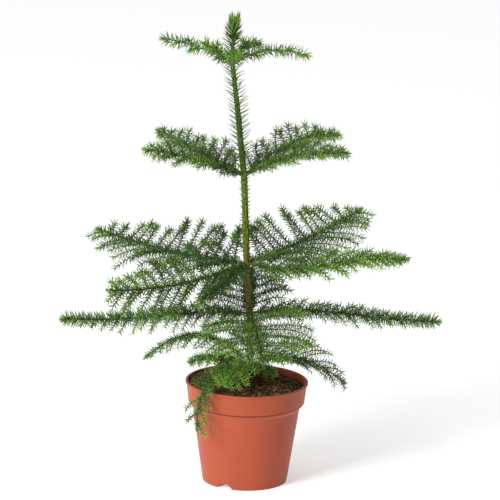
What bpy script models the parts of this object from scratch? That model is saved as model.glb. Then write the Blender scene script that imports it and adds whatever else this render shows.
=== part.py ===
"""Young Norfolk Island pine in a plastic nursery pot, as separate named solids.

Units are metres with +Z up.  The pot stands on z = 0 with its axis on the Z axis, +X is to the
right and -Y is the front.  A whorl of branches leaves the trunk at each of five heights.  Each
branch is a bough, which is a bare tapering limb, and a foliage mass that grows on from its end.
"""
import math
from collections import namedtuple

import bmesh
import bpy
import numpy as np
from mathutils.bvhtree import BVHTree

MM = 0.001
GAP = 0.3 * MM              # clearance between pieces that touch

# Pot: a tapered cup with a rim band, a thin lip and drain notches round its foot.
POT_HEIGHT = 100 * MM
POT_RIM_RADIUS = 60 * MM
POT_FOOT_RADIUS = 41.5 * MM
POT_WALL = 1.5 * MM
POT_LIP = 2.2 * MM          # height of the lip
POT_LIP_STEP = 1.1 * MM     # how far the lip stands out of the band
BAND_FOOT = 79.5 * MM       # lower edge of the band
BAND_FOOT_RADIUS = 56.8 * MM
CHAMFER_FOOT = 74.5 * MM    # where the slope under the band meets the wall
CHAMFER_FOOT_RADIUS = 52.4 * MM
POT_SIDES = 36
NOTCH_COUNT = 3
NOTCH_WIDTH = 15 * MM
NOTCH_HEIGHT = 4.2 * MM
NOTCH_DEPTH = 5 * MM
NOTCH_TURN = -118           # degrees, places one notch at the front left

# Soil: the pot's filling, with a low mound round the stem.
SOIL_TOP = 96 * MM
SOIL_EDGE_DROP = 1.6 * MM
SOIL_FOOT = 5 * MM

# Trunk: height and sideways offset along its lean, and its radius at foot, middle and tip.
TRUNK_Z = np.array([96.3, 115, 140, 168, 200, 218, 250, 304, 345, 375, 414, 437, 460]) * MM
TRUNK_X = np.array([4.0, 2.8, 2.0, 1.1, -1.3, -2.9, -4.5, -7.4, -12.4, -15.8, -21.3, -21, -20]) * MM
TRUNK_RADIUS_Z = np.array([96.3, 99, 107, 200, 304, 360, 414, 460]) * MM
TRUNK_RADIUS = np.array([4.6, 3.7, 3.2, 3.1, 2.9, 2.5, 1.9, 1.1]) * MM
TRUNK_SIDES = 10
FLARE_RINGS = 3             # the first values of TRUNK_RADIUS_Z, where the foot flares

# Needles on the trunk: a spiral of three-sided spikes, crowded together on the leader.
SPIRAL_TURN = math.radians(137.5)
NEEDLE_FOOT = 234 * MM      # no needles below this height
NEEDLE_STEP = 4.4 * MM
NEEDLE_THICKNESS = 0.75 * MM
TRUNK_NEEDLE = 8.5 * MM
YOUNG_SHARE = 0.6           # length of the needles below the fourth tier, as a share of the others'
WHORL_ROOM = 7 * MM         # no needles this near to a whorl
TRUNK_NEEDLE_LIFT = 0.35    # upward slope of a needle
LEADER_FOOT = 428 * MM
LEADER_NEEDLES = 26
LEADER_NEEDLE = (9.2 * MM, 8.4 * MM)        # length at the leader's foot and at its tip
LEADER_NEEDLE_LIFT = (0.6, 1.4)             # upward slope at its foot and at its tip
LEADER_NEEDLE_THICKNESS = 0.85 * MM
LEADER_BARE_TIP = 2 * MM

# Boughs: the bare first part of each branch.
BOUGH_SIDES = 6
BOUGH_RINGS = 3
BOUGH_ROOT_RADIUS = 1.15 * MM
BOUGH_TIP_RADIUS = 0.9 * MM

# Foliage: flat toothed blades, one for each twig, fused to a slim core along the axis.
BLADE_HALF_WIDTH = 6.6 * MM
BLADE_THICKNESS = 4.2 * MM
BLADE_CORE = 0.9 * MM
BLADE_ROOT_TAPER = 0.5      # thickness of a twig's blade at its root, as a share of its own
BLADE_TIP_TAPER = 0.4       # how much thinner it is at its tip
TOOTH_LEAN = 0.92           # how far forward a tooth leans, as a share of its stretch
TOOTH_ROOM = 0.47           # widest half blade, as a share of the twigs' distance apart
TIP_TOOTH = 0.75            # width of a blade's last tooth, as a share of its first
LONG_TWIG = 34 * MM         # a twig longer than this has three teeth a side, not two
CORE_HALF_WIDTH = 1.3 * MM
CORE_STEP = 26 * MM         # distance between the core's rings
CORE_TIP = 22 * MM          # length of the toothed stretch at a core's tip
CORE_TOOTH = 13 * MM        # length of a tooth's stretch on a core that is toothed throughout
CORE_TOOTH_WIDTH = 5.7 * MM
NEEDLE_REACH = 5 * MM       # how far the needles stand out past an axis's own end
TWIG_SHARE = (0, 0.22, 0.55, 0.8, 1)        # places along a branch, and how much of the
TWIG_PROFILE = (0.75, 1, 0.92, 0.6, 0.28)   # longest twig's length the twigs have there
TWIG_SAG = 22               # degrees by which twigs hang lower at a branch's tip than at its root
TWIG_SAG_START = 0.4        # the share of a branch where they neither rise nor hang for it
TWIG_BEND = 0.14            # how far a twig bends forward, as a share of its length
TWIG_SPREAD = 0.08          # how much the twigs' lengths vary
TWIG_CUTS = (1, 0.8, 0.6, 0.42)             # shares of its length that a twig is tried at
FIRST_TWIG = 5 * MM         # distance from the bough's end to the first twig
TEST_MARGIN = 0.5 * MM      # a trial blade is this much larger than the one that is kept
SEED = 7

# Heights of the whorls, the share of a branch that is bare, the least distance between its
# blades, and the core's thickness, which takes in the needles above and below the axis where
# they show.
Tier = namedtuple("Tier", "height bare spacing core")
TIERS = {
    5: Tier(414 * MM, 0.10, 24 * MM, 9 * MM),
    4: Tier(304 * MM, 0.12, 14.5 * MM, 9 * MM),
    3: Tier(218 * MM, 0.09, 15.5 * MM, 4 * MM),
    2: Tier(168 * MM, 0.10, 16 * MM, 4 * MM),
    1: Tier(115 * MM, 0.16, 15 * MM, 4 * MM),
}

# Branches.  Angles in degrees, lengths in millimetres.  azimuth is from +X towards +Y, reach and
# rise give the tip, arch and wave bend the axis up, twig is the longest twig, vee lifts both rows
# of twigs, roll lifts the row on the left and lowers the other, forward is the angle between a
# twig and the axis, skew opens that angle on the left and closes it on the right, and gap is the
# distance between the real twigs of a row.
Branch = namedtuple(
    "Branch", "name tier azimuth reach rise arch wave twig vee roll forward skew gap")
BRANCHES = [Branch(*row) for row in (
    ("tier5_left", 5, 165, 70, 19, 4, 0, 15, 0, -15, 48, 0, 24),
    ("tier5_right", 5, 5, 73, 7, 9, 0, 13, -5, 15, 48, 0, 24),
    ("tier5_back", 5, 62, 54, 9, 9, 0, 14, 15, 0, 48, 0, 24),
    ("tier5_front", 5, -85, 46, 15, 3, 0, 12, 15, 0, 48, 0, 24),
    ("tier5_front_left", 5, 232, 46, 25, 3, 0, 14, 15, 0, 48, 0, 24),
    ("tier4_left_front", 4, 192, 98, 28, 4, 0, 27, 8, -22, 60, -15, 9.5),
    ("tier4_left_back", 4, 148, 101, 32, 2, 0, 27, 6, -22, 60, -15, 9.5),
    ("tier4_right_front", 4, -12, 101, 29, 9, 0, 27, 8, 22, 60, 15, 9.5),
    ("tier4_right_back", 4, 32, 107, 32, 12, 0, 27, 8, 22, 60, 15, 9.5),
    ("tier3_left_back", 3, 155, 164, 14, -5, 0, 52, 8, -24, 73, -21, 10.5),
    ("tier3_left_front", 3, 205, 145, -15, -8, 0, 50, -8, -32, 71, -21, 10),
    ("tier3_front_left", 3, 232, 68, -24, -2, 0, 16, -5, 0, 62, 0, 12),
    ("tier3_right_back", 3, 36, 138, 38, -4, 0, 52, 6, 22, 71, 21, 9.5),
    ("tier3_right_front", 3, -12, 157, 15, -4, -4, 32, 4, 14, 60, 0, 9),
    ("tier2_left", 2, 175, 183, -15, 0, 2, 21, -20, -40, 66, -5, 10),
    ("tier2_right", 2, 3, 184, -7, 4, 2, 21, 0, 30, 52, 0, 9),
    ("tier2_back", 2, 91.5, 112, 18, 2, 0, 46, 4, 0, 76, 0, 22),
    ("tier2_front", 2, -82, 100, -20, 3, 0, 60, 5, 0, 80, 0, 11.5),
    ("tier1_left", 1, 170, 106, -1, 28, 0, 20, -45, -20, 66, 0, 10.5),
    ("tier1_right", 1, -12, 95, -11, 17, 0, 36, 0, 22, 34, -4, 12),
    ("tier1_left_front", 1, 207, 66, 10, 6, 0, 27, -6, 0, 62, 0, 9),
    ("tier1_front", 1, 250, 66, -4, 8, 0, 30, 0, 0, 60, 0, 9.5),
    ("tier1_front_right", 1, -40, 34, -3, 3, 0, 17, -10, 0, 62, 0, 9),
    ("tier1_back", 1, 92, 80, 20, 6, 0, 26, 8, 0, 62, 0, 14),
    ("tier1_hanging", 1, 226, 72, -52, 0, 0, 24, 6, 0, 50, 0, 11),
)]
HANGING = "tier1_hanging"   # curls over the rim instead of keeping to the straight rule

COLOURS = {
    "pot": ((0.56, 0.16, 0.085), 0.42),
    "soil": ((0.045, 0.027, 0.016), 0.95),
    "trunk": ((0.15, 0.11, 0.035), 0.8),
    "bough": ((0.10, 0.10, 0.03), 0.8),
    "foliage": ((0.06, 0.16, 0.045), 0.6),
}


def clear_scene():
    """Removes whatever objects the file opened with."""
    for obj in list(bpy.data.objects):
        bpy.data.objects.remove(obj, do_unlink=True)


def material(name, kind):
    """A Principled material of the colour and roughness that COLOURS gives for this kind."""
    colour, roughness = COLOURS[kind]
    result = bpy.data.materials.new(name)
    result.use_nodes = True
    shader = result.node_tree.nodes["Principled BSDF"]
    shader.inputs["Base Color"].default_value = (*colour, 1)
    shader.inputs["Roughness"].default_value = roughness
    shader.inputs["Metallic"].default_value = 0
    return result


def add_object(name, kind, vertices, faces):
    """An object in the scene from arrays of vertices and faces, with a material of its own."""
    mesh = bpy.data.meshes.new(name)
    mesh.from_pydata([tuple(v) for v in vertices], [], faces)
    mesh.update()
    obj = bpy.data.objects.new(name, mesh)
    obj.data.materials.append(material(name, kind))
    bpy.context.scene.collection.objects.link(obj)
    return obj


def shade_round(obj, degrees=35):
    """Smooth shading with sharp edges where faces meet at more than this angle."""
    obj.data.shade_smooth()
    obj.data.set_sharp_from_angle(angle=math.radians(degrees))


def triangles_of(obj):
    """The vertices and triangles of an object's mesh, for an overlap test."""
    work = bmesh.new()
    work.from_mesh(obj.data)
    bmesh.ops.triangulate(work, faces=work.faces)
    vertices = [v.co.copy() for v in work.verts]
    faces = [[v.index for v in f.verts] for f in work.faces]
    work.free()
    return vertices, faces


def turned(profile, sides):
    """Closed solid of revolution: (r, z) points from the axis at the foot round to the axis."""
    turn = np.arange(sides) * math.tau / sides
    vertices = [(0.0, 0.0, profile[0][1])]
    for radius, z in profile[1:-1]:
        vertices += [(radius * math.cos(a), radius * math.sin(a), z) for a in turn]
    vertices.append((0.0, 0.0, profile[-1][1]))
    last = len(vertices) - 1
    top = last - sides
    faces = []
    for i in range(sides):
        j = (i + 1) % sides
        faces.append((0, 1 + j, 1 + i))
        for ring in range(len(profile) - 3):
            low = 1 + ring * sides
            faces.append((low + i, low + j, low + sides + j, low + sides + i))
        faces.append((top + i, top + j, last))
    return vertices, faces


def modified(obj, kind, **settings):
    """Adds one modifier to an object, applies it and returns the object."""
    modifier = obj.modifiers.new(kind.title(), kind)
    for key, value in settings.items():
        setattr(modifier, key, value)
    view = bpy.context.evaluated_depsgraph_get()
    mesh = bpy.data.meshes.new_from_object(obj.evaluated_get(view), depsgraph=view)
    obj.modifiers.clear()
    obj.data = mesh
    return obj


def wall_radius(z):
    """Outer radius of the pot's plain wall at a height."""
    share = z / CHAMFER_FOOT
    return POT_FOOT_RADIUS + (CHAMFER_FOOT_RADIUS - POT_FOOT_RADIUS) * share


def make_pot():
    """The cup, turned from one profile, with its drain notches cut out of the foot's edge."""
    lip_foot = POT_HEIGHT - POT_LIP
    band_top_radius = POT_RIM_RADIUS - POT_LIP_STEP
    profile = (
        (0, 0), (POT_FOOT_RADIUS - POT_WALL, 0), (POT_FOOT_RADIUS, 0.8 * MM),
        (CHAMFER_FOOT_RADIUS, CHAMFER_FOOT), (BAND_FOOT_RADIUS, BAND_FOOT),
        (band_top_radius, lip_foot), (POT_RIM_RADIUS, lip_foot),
        (POT_RIM_RADIUS, POT_HEIGHT - 0.5 * MM), (POT_RIM_RADIUS - 0.5 * MM, POT_HEIGHT),
        (band_top_radius - POT_WALL, POT_HEIGHT), (BAND_FOOT_RADIUS - POT_WALL, BAND_FOOT),
        (CHAMFER_FOOT_RADIUS - POT_WALL, CHAMFER_FOOT),
        (wall_radius(2 * POT_WALL) - POT_WALL, 2 * POT_WALL), (0, 2 * POT_WALL))
    pot = add_object("pot", "pot", *turned(profile, POT_SIDES))
    cutters = bpy.data.collections.new("notch_cutters")
    bpy.context.scene.collection.children.link(cutters)
    for index in range(NOTCH_COUNT):
        cutter = notch_cutter(math.radians(NOTCH_TURN) + index * math.tau / NOTCH_COUNT)
        cutters.objects.link(cutter)
    modified(pot, "BOOLEAN", operation="DIFFERENCE", operand_type="COLLECTION", collection=cutters)
    remove_collection(cutters)
    shade_round(pot)
    return pot


def notch_cutter(angle):
    """A wedge with slanted ends that cuts one notch out of the edge of the foot."""
    foot = NOTCH_WIDTH / 2
    top = foot - NOTCH_HEIGHT
    inner = POT_FOOT_RADIUS - NOTCH_DEPTH
    outer = POT_FOOT_RADIUS + NOTCH_DEPTH
    section = ((-foot, -MM), (foot, -MM), (foot, 0), (top, NOTCH_HEIGHT), (-top, NOTCH_HEIGHT),
               (-foot, 0))
    vertices = []
    for radius in (inner, outer):
        for side, z in section:
            x = radius * math.cos(angle) - side * math.sin(angle)
            y = radius * math.sin(angle) + side * math.cos(angle)
            vertices.append((x, y, z))
    count = len(section)
    faces = [tuple(range(count))[::-1], tuple(range(count, 2 * count))]
    for i in range(count):
        j = (i + 1) % count
        faces.append((i, j, count + j, count + i))
    mesh = bpy.data.meshes.new("notch_cutter")
    mesh.from_pydata(vertices, [], faces)
    return bpy.data.objects.new("notch_cutter", mesh)


def remove_collection(collection):
    """Removes a collection and the objects in it."""
    for obj in list(collection.objects):
        bpy.data.objects.remove(obj, do_unlink=True)
    bpy.data.collections.remove(collection)


def make_soil():
    """The filling: clear of the pot's wall by GAP, with its top falling a little to the wall."""
    def inner(z):
        return wall_radius(z) - POT_WALL - GAP
    band_radius = BAND_FOOT_RADIUS - POT_WALL - GAP
    band_spread = POT_RIM_RADIUS - POT_LIP_STEP - BAND_FOOT_RADIUS
    edge_z = SOIL_TOP - SOIL_EDGE_DROP
    edge_radius = band_radius + band_spread * (edge_z - BAND_FOOT) / (POT_HEIGHT - BAND_FOOT)
    profile = (
        (0, SOIL_FOOT), (inner(SOIL_FOOT), SOIL_FOOT), (inner(CHAMFER_FOOT), CHAMFER_FOOT),
        (band_radius, BAND_FOOT), (edge_radius, edge_z), (0.72 * edge_radius, SOIL_TOP - 0.9 * MM),
        (0.35 * edge_radius, SOIL_TOP), (0, SOIL_TOP))
    soil = add_object("soil", "soil", *turned(profile, POT_SIDES))
    shade_round(soil)
    return soil


def trunk_point(z):
    """Centre of the trunk at a height, as an array of x, y and z."""
    x = np.interp(z, TRUNK_Z, TRUNK_X)
    return np.array([x, 0.0, z])


def trunk_radius(z):
    """Radius of the trunk at a height."""
    return float(np.interp(z, TRUNK_RADIUS_Z, TRUNK_RADIUS))


def tube(points, radii, sides, steps=None):
    """Closed tapering tube through points, each ring square to its step, with flat ends."""
    points = np.asarray(points)
    if steps is None:
        steps = np.gradient(points, axis=0)
    vertices = []
    for centre, step, radius in zip(points, steps, radii):
        along = step / np.linalg.norm(step)
        guide = np.array([0.0, 0.0, 1.0]) if abs(along[2]) < 0.9 else np.array([0.0, 1.0, 0.0])
        side = np.cross(along, guide)
        side /= np.linalg.norm(side)
        up = np.cross(side, along)
        for k in range(sides):
            a = math.tau * k / sides
            vertices.append(centre + radius * (math.cos(a) * side + math.sin(a) * up))
    rings = len(points)
    faces = []
    for ring in range(rings - 1):
        for i in range(sides):
            j = (i + 1) % sides
            low = ring * sides
            faces.append((low + i, low + sides + i, low + sides + j, low + j))
    faces.append(tuple(range(sides)))
    faces.append(tuple(range(rings * sides - 1, (rings - 1) * sides - 1, -1)))
    return vertices, faces


def needle(root, along, length, thickness):
    """A three-sided spike whose foot is sunk in the limb that it stands on."""
    along = along / np.linalg.norm(along)
    side = np.cross(along, [0.0, 0.0, 1.0])
    side /= np.linalg.norm(side)
    up = np.cross(side, along)
    foot = [root + thickness * (math.cos(a) * side + math.sin(a) * up)
            for a in (0, math.tau / 3, 2 * math.tau / 3)]
    vertices = [*foot, root + along * length]
    faces = [(1, 0, 3), (2, 1, 3), (0, 2, 3), (0, 1, 2)]
    return vertices, faces


def fused(obj, pieces):
    """Joins loose closed pieces to an object by one Boolean union on a collection."""
    group = bpy.data.collections.new("pieces_of_" + obj.name)
    bpy.context.scene.collection.children.link(group)
    for vertices, faces in pieces:
        mesh = bpy.data.meshes.new("piece")
        mesh.from_pydata([tuple(v) for v in vertices], [], faces)
        group.objects.link(bpy.data.objects.new("piece", mesh))
    modified(obj, "BOOLEAN", operation="UNION", operand_type="COLLECTION", collection=group,
             solver="MANIFOLD")
    remove_collection(group)
    return obj


def make_trunk(rng):
    """The leaning trunk, flat at the soil and whole to its tip, with needles fused to it."""
    heights = np.unique(np.concatenate([TRUNK_Z, TRUNK_RADIUS_Z[:FLARE_RINGS]]))
    points = [trunk_point(z) for z in heights]
    radii = [trunk_radius(z) for z in heights]
    vertices, faces = tube(points, radii, TRUNK_SIDES)
    vertices = np.array(vertices)
    vertices[:TRUNK_SIDES, 2] = heights[0]
    trunk = add_object("trunk", "trunk", vertices, faces)
    return fused(trunk, trunk_needles(rng) + leader_needles())


def trunk_needles(rng):
    """A spiral of needles up the green part of the trunk, short below the fourth tier."""
    whorls = [tier.height for tier in TIERS.values()]
    needles = []
    for index, z in enumerate(np.arange(NEEDLE_FOOT, LEADER_FOOT, NEEDLE_STEP)):
        if min(abs(z - height) for height in whorls) < WHORL_ROOM:
            continue
        share = YOUNG_SHARE if z < TIERS[4].height else 1
        length = TRUNK_NEEDLE * share * rng.uniform(0.9, 1.1) + trunk_radius(z)
        angle = index * SPIRAL_TURN
        along = np.array([math.cos(angle), math.sin(angle), TRUNK_NEEDLE_LIFT])
        needles.append(needle(trunk_point(z), along, length, NEEDLE_THICKNESS))
    return needles


def leader_needles():
    """The leader's crowded needles, which close up into a bud at the tip."""
    needles = []
    last = TRUNK_Z[-1] - LEADER_BARE_TIP
    for index, z in enumerate(np.linspace(LEADER_FOOT, last, LEADER_NEEDLES)):
        share = index / (LEADER_NEEDLES - 1)
        angle = index * SPIRAL_TURN
        lift = np.interp(share, (0, 1), LEADER_NEEDLE_LIFT)
        length = np.interp(share, (0, 1), LEADER_NEEDLE) + trunk_radius(z)
        along = np.array([math.cos(angle), math.sin(angle), lift])
        needles.append(needle(trunk_point(z), along, length, LEADER_NEEDLE_THICKNESS))
    return needles


def branch_axis(branch, s):
    """Points on a branch's axis for shares s of its length, from the trunk's centre out.

    Straight rule: r = reach s, z = rise s + 4 arch s (1 - s) + wave sin(2 pi s).
    Hanging rule: r = reach (1 - (1 - s)^2), z = rise s^3, which goes over the rim and down.
    """
    s = np.asarray(s, dtype=float)
    root = trunk_point(TIERS[branch.tier].height)
    angle = math.radians(branch.azimuth)
    if branch.name == HANGING:
        radius = branch.reach * (1 - (1 - s) ** 2)
        lift = branch.rise * s ** 3
    else:
        radius = branch.reach * s
        lift = (branch.rise * s + 4 * branch.arch * s * (1 - s)
                + branch.wave * np.sin(2 * math.pi * s))
    out = np.array([math.cos(angle), math.sin(angle), 0.0])
    return root + radius[..., None] * MM * out + lift[..., None] * MM * np.array([0, 0, 1.0])


def branch_frame(branch, s):
    """Unit vectors at share s: along the axis, level to its left, and square to both."""
    ends = branch_axis(branch, np.array([s - 0.01, s + 0.01]))
    along = ends[1] - ends[0]
    along /= np.linalg.norm(along)
    left = np.array([-math.sin(math.radians(branch.azimuth)),
                     math.cos(math.radians(branch.azimuth)), 0.0])
    return along, left, np.cross(along, left)


def branch_length(branch):
    """Length of a branch along its axis."""
    points = branch_axis(branch, np.linspace(0, 1, 33))
    return float(np.linalg.norm(np.diff(points, axis=0), axis=1).sum())


def make_bough(branch):
    """The bare tapering limb from the trunk's side to where the foliage begins."""
    tier = TIERS[branch.tier]
    slope = abs(branch_frame(branch, 0.02)[0][2])
    clear = trunk_radius(tier.height) + GAP + BOUGH_ROOT_RADIUS * slope
    first = clear / (branch.reach * MM)
    if branch.name == HANGING:
        first /= 2
    shares = np.linspace(first, tier.bare, BOUGH_RINGS)
    radii = np.linspace(BOUGH_ROOT_RADIUS, BOUGH_TIP_RADIUS, BOUGH_RINGS)
    steps = [branch_frame(branch, s)[0] for s in shares]
    vertices, faces = tube(branch_axis(branch, shares), radii, BOUGH_SIDES, steps)
    return add_object(branch.name + "_bough", "bough", vertices, faces)


def blade(centres, across, up, half_widths, thickness, core, plain=0):
    """Flat toothed blade: a ridge above and below a line of centres, teeth out to both sides.

    up holds a direction for each centre, and across is square to all of them.  The teeth lean
    forward, each from one centre to beside the next.  The last centre is the blade's point.
    half_widths holds a value for each tooth.  The first stretches, as many as plain says, have
    no teeth.
    """
    teeth = len(centres) - 1
    vertices = []
    for k in range(teeth):
        taper = 1 - BLADE_TIP_TAPER * k / teeth
        if k == 0 and plain == 0:
            taper = BLADE_ROOT_TAPER
        centre = centres[k]
        ridge = up[k] * thickness / 2 * taper
        vertices += [centre + ridge, centre - ridge,
                     centre + across * core * taper, centre - across * core * taper]
    vertices.append(centres[-1])
    faces = [(0, 2, 1, 3)]
    for k in range(teeth):
        top, bottom, left, right = range(4 * k, 4 * k + 4)
        last = k == teeth - 1
        top2, bottom2, left2, right2 = [4 * teeth] * 4 if last else range(4 * k + 4, 4 * k + 8)
        if k < plain:
            faces += [(top, top2, left2, left), (top, right, right2, top2),
                      (bottom, left, left2, bottom2), (bottom, bottom2, right2, right)]
            continue
        lean = centres[k] + TOOTH_LEAN * (centres[k + 1] - centres[k])
        left_tip = len(vertices)
        right_tip = left_tip + 1
        vertices += [lean + half_widths[k] * across, lean - half_widths[k] * across]
        faces += [(top, left_tip, left), (top, top2, left_tip),
                  (top, right, right_tip), (top, right_tip, top2),
                  (bottom, left, left_tip), (bottom, left_tip, bottom2),
                  (bottom, right_tip, right), (bottom, bottom2, right_tip)]
        if not last:
            faces += [(top2, left2, left_tip), (top2, right_tip, right2),
                      (bottom2, left_tip, left2), (bottom2, right2, right_tip)]
    return vertices, faces


def axis_core(branch, margin=0.0):
    """The core along a branch's axis, from its bough's end to past its tip.

    In the top tier, where the twigs are few, it is a toothed blade.  Elsewhere only its last
    stretch is, and the rest is a slim bar of four sides.
    """
    tier = TIERS[branch.tier]
    length = branch_length(branch)
    first = tier.bare + GAP / length
    last = 1 + (NEEDLE_REACH + margin) / length
    if branch.tier == 5:
        teeth = round(length / CORE_TOOTH)
        plain = 0
        tip_share = first
    else:
        teeth = 2
        plain = round(length / CORE_STEP)
        tip_share = 1 + (NEEDLE_REACH - CORE_TIP) / length
    shares = np.concatenate([np.linspace(first, tip_share, plain + 1)[:-1],
                             np.linspace(tip_share, last, teeth + 1)])
    widths = np.full(plain + teeth, CORE_TOOTH_WIDTH + margin)
    left = branch_frame(branch, first)[1]
    up = [branch_frame(branch, s)[2] for s in shares]
    return blade(branch_axis(branch, shares), left, up, widths, tier.core + 2 * margin,
                 CORE_HALF_WIDTH + margin, plain)


def blade_spacing(branch):
    """Distance between the blades of a row: the real twigs', or the tier's least if they are closer."""
    return max(branch.gap * MM, TIERS[branch.tier].spacing)


def twig_length(branch, s):
    """Length of the twig at share s: long near the trunk, or near the tip of a hanging branch."""
    place = 1 - s if branch.name == HANGING else s
    return branch.twig * MM * float(np.interp(place, TWIG_SHARE, TWIG_PROFILE))


def twig_blade(branch, s, side, length, margin=0.0):
    """One twig's toothed blade, rooted in the axis at share s on side +1 (left) or -1.

    Centre: P(u) = root + length (u direction + TWIG_BEND u^2 along the axis).
    """
    along, left, up = branch_frame(branch, s)
    sag = TWIG_SAG * (s - TWIG_SAG_START)
    lift = math.radians(branch.vee + side * branch.roll - sag)
    outward = side * math.cos(lift) * left + math.sin(lift) * up
    forward = math.radians(branch.forward + side * branch.skew)
    direction = math.cos(forward) * along + math.sin(forward) * outward
    normal = side * np.cross(direction, outward)
    if normal[2] < 0:
        normal = -normal
    normal /= np.linalg.norm(normal)
    across = np.cross(normal, direction)
    root = branch_axis(branch, np.array([s]))[0]
    teeth = 3 if length > LONG_TWIG else 2
    share = np.linspace(0, 1, teeth + 1)[:, None]
    centres = root + direction * (length + margin) * share + TWIG_BEND * length * share ** 2 * along
    room = TOOTH_ROOM * blade_spacing(branch) * math.sin(forward)
    widths = min(BLADE_HALF_WIDTH, room) * np.linspace(1, TIP_TOOTH, teeth) + margin
    core = BLADE_CORE + margin
    up = [normal] * len(centres)
    return blade(centres, across, up, widths, BLADE_THICKNESS + 2 * margin, core)


def tree_of(vertices, faces):
    """A tree of faces for overlap tests."""
    return BVHTree.FromPolygons([tuple(v) for v in vertices], faces)


def overlaps(piece, others):
    """Whether a piece's faces cross those of any tree in a list."""
    trial = tree_of(*piece)
    return any(trial.overlap(other) for other in others)


def make_foliage(branch, taken, rng):
    """One branch's foliage mass: twigs by a seeded rule, each kept only where it is clear."""
    length = branch_length(branch)
    mass = add_object(branch.name + "_foliage", "foliage", *axis_core(branch))
    step = blade_spacing(branch) / length
    first = TIERS[branch.tier].bare + FIRST_TWIG / length
    pieces = []
    for side in (1, -1):
        start = first + (0.5 * step if side < 0 else 0)
        for s in np.arange(start, 1 - 0.4 * step, step):
            wanted = twig_length(branch, s) * rng.uniform(1 - TWIG_SPREAD, 1 + TWIG_SPREAD)
            for share in TWIG_CUTS:
                if not overlaps(twig_blade(branch, s, side, wanted * share, TEST_MARGIN), taken):
                    pieces.append(twig_blade(branch, s, side, wanted * share))
                    break
    return fused(mass, pieces)


def make_plant():
    """All pieces: first the fixed ones and the cores, because the twigs keep clear of them."""
    clear_scene()
    rng = np.random.default_rng(SEED)
    limbs = [make_pot(), make_soil(), make_trunk(rng)]
    limbs += [make_bough(branch) for branch in BRANCHES]
    taken = [tree_of(*triangles_of(limb)) for limb in limbs]
    cores = {branch.name: tree_of(*axis_core(branch, TEST_MARGIN / 2)) for branch in BRANCHES}
    for branch in BRANCHES:
        del cores[branch.name]
        mass = make_foliage(branch, taken + list(cores.values()), rng)
        taken.append(tree_of(*triangles_of(mass)))


make_plant()
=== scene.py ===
"""Looks of a young Norfolk Island pine in a plastic nursery pot: run in Blender 4.5, metres, +Z up."""
import math
from collections import namedtuple

import bpy
import numpy as np
from mathutils import Matrix, Vector


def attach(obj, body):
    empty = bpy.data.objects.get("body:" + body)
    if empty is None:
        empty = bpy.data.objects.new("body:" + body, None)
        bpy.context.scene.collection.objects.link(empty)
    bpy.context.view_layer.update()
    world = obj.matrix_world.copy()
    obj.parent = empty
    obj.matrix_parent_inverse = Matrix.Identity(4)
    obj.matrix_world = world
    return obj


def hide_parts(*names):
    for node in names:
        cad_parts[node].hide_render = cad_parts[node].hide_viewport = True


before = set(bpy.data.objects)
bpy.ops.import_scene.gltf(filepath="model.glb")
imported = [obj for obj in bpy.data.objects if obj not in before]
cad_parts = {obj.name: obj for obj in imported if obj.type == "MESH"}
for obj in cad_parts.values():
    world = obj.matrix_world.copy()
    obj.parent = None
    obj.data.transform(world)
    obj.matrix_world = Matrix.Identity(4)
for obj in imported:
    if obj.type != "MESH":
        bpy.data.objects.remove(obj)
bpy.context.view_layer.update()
MM = 0.001

# --- Camera -------------------------------------------------------------------------------------
# A long lens three metres off, a little above the plant and turned slightly on its own axis.

CAMERA_PLACE = Vector((0.0, -3.0, 0.949))
CAMERA_AIM = Vector((0.0, 0.0, 0.231))
CAMERA_ROLL = math.radians(1.4)
CAMERA_LENS = 229.4         # millimetres, on a sensor 36 mm wide


def camera_matrix(place, aim, roll):
    """A camera's place and turn: -Z looks from place to aim, then the view rolls by roll."""
    forward = (aim - place).normalized()
    right = forward.cross(Vector((0, 0, 1))).normalized()
    up = right.cross(forward)
    rolled_right = math.cos(roll) * right + math.sin(roll) * up
    rolled_up = math.cos(roll) * up - math.sin(roll) * right
    turn = Matrix((rolled_right, rolled_up, -forward)).transposed()
    return Matrix.Translation(place) @ turn.to_4x4()


camera = bpy.data.objects.new("camera", bpy.data.cameras.new("camera"))
camera.data.lens = CAMERA_LENS
camera.data.sensor_width = 36
camera.data.clip_end = 20
camera.matrix_world = camera_matrix(CAMERA_PLACE, CAMERA_AIM, CAMERA_ROLL)
bpy.context.scene.collection.objects.link(camera)
bpy.context.scene.camera = camera

# --- Floor and light ----------------------------------------------------------------------------
# A white studio sweep: one plain floor that glows a little, a surround that is white at the left
# and dimmer at the right, and a large soft light at the front left.

FLOOR_SIZE = 14.0
FLOOR_GLOW = 0.42
KEY_PLACE = Vector((-1.7, -1.9, 1.5))
KEY_AIM = Vector((0, 0, 0.2))
KEY_SIZE = 0.9
KEY_POWER = 62.0
SURROUND_LEFT = 0.85
SURROUND_RIGHT = 0.08
SURROUND_FADE = (-0.6, 0.9)     # sideways part of a direction, where the fade starts and ends

bpy.context.scene.view_settings.view_transform = "Standard"
world = bpy.data.worlds.new("surround")
world.use_nodes = True
world_tree = world.node_tree
background = world_tree.nodes["Background"]
background.inputs["Color"].default_value = (1, 1, 1, 1)
direction = world_tree.nodes.new("ShaderNodeTexCoord")
direction_split = world_tree.nodes.new("ShaderNodeSeparateXYZ")
fade = world_tree.nodes.new("ShaderNodeMapRange")
fade.inputs["From Min"].default_value = SURROUND_FADE[0]
fade.inputs["From Max"].default_value = SURROUND_FADE[1]
fade.inputs["To Min"].default_value = SURROUND_LEFT
fade.inputs["To Max"].default_value = SURROUND_RIGHT
world_tree.links.new(direction.outputs["Generated"], direction_split.inputs["Vector"])
world_tree.links.new(direction_split.outputs["X"], fade.inputs["Value"])
world_tree.links.new(fade.outputs["Result"], background.inputs["Strength"])
bpy.context.scene.world = world

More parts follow.
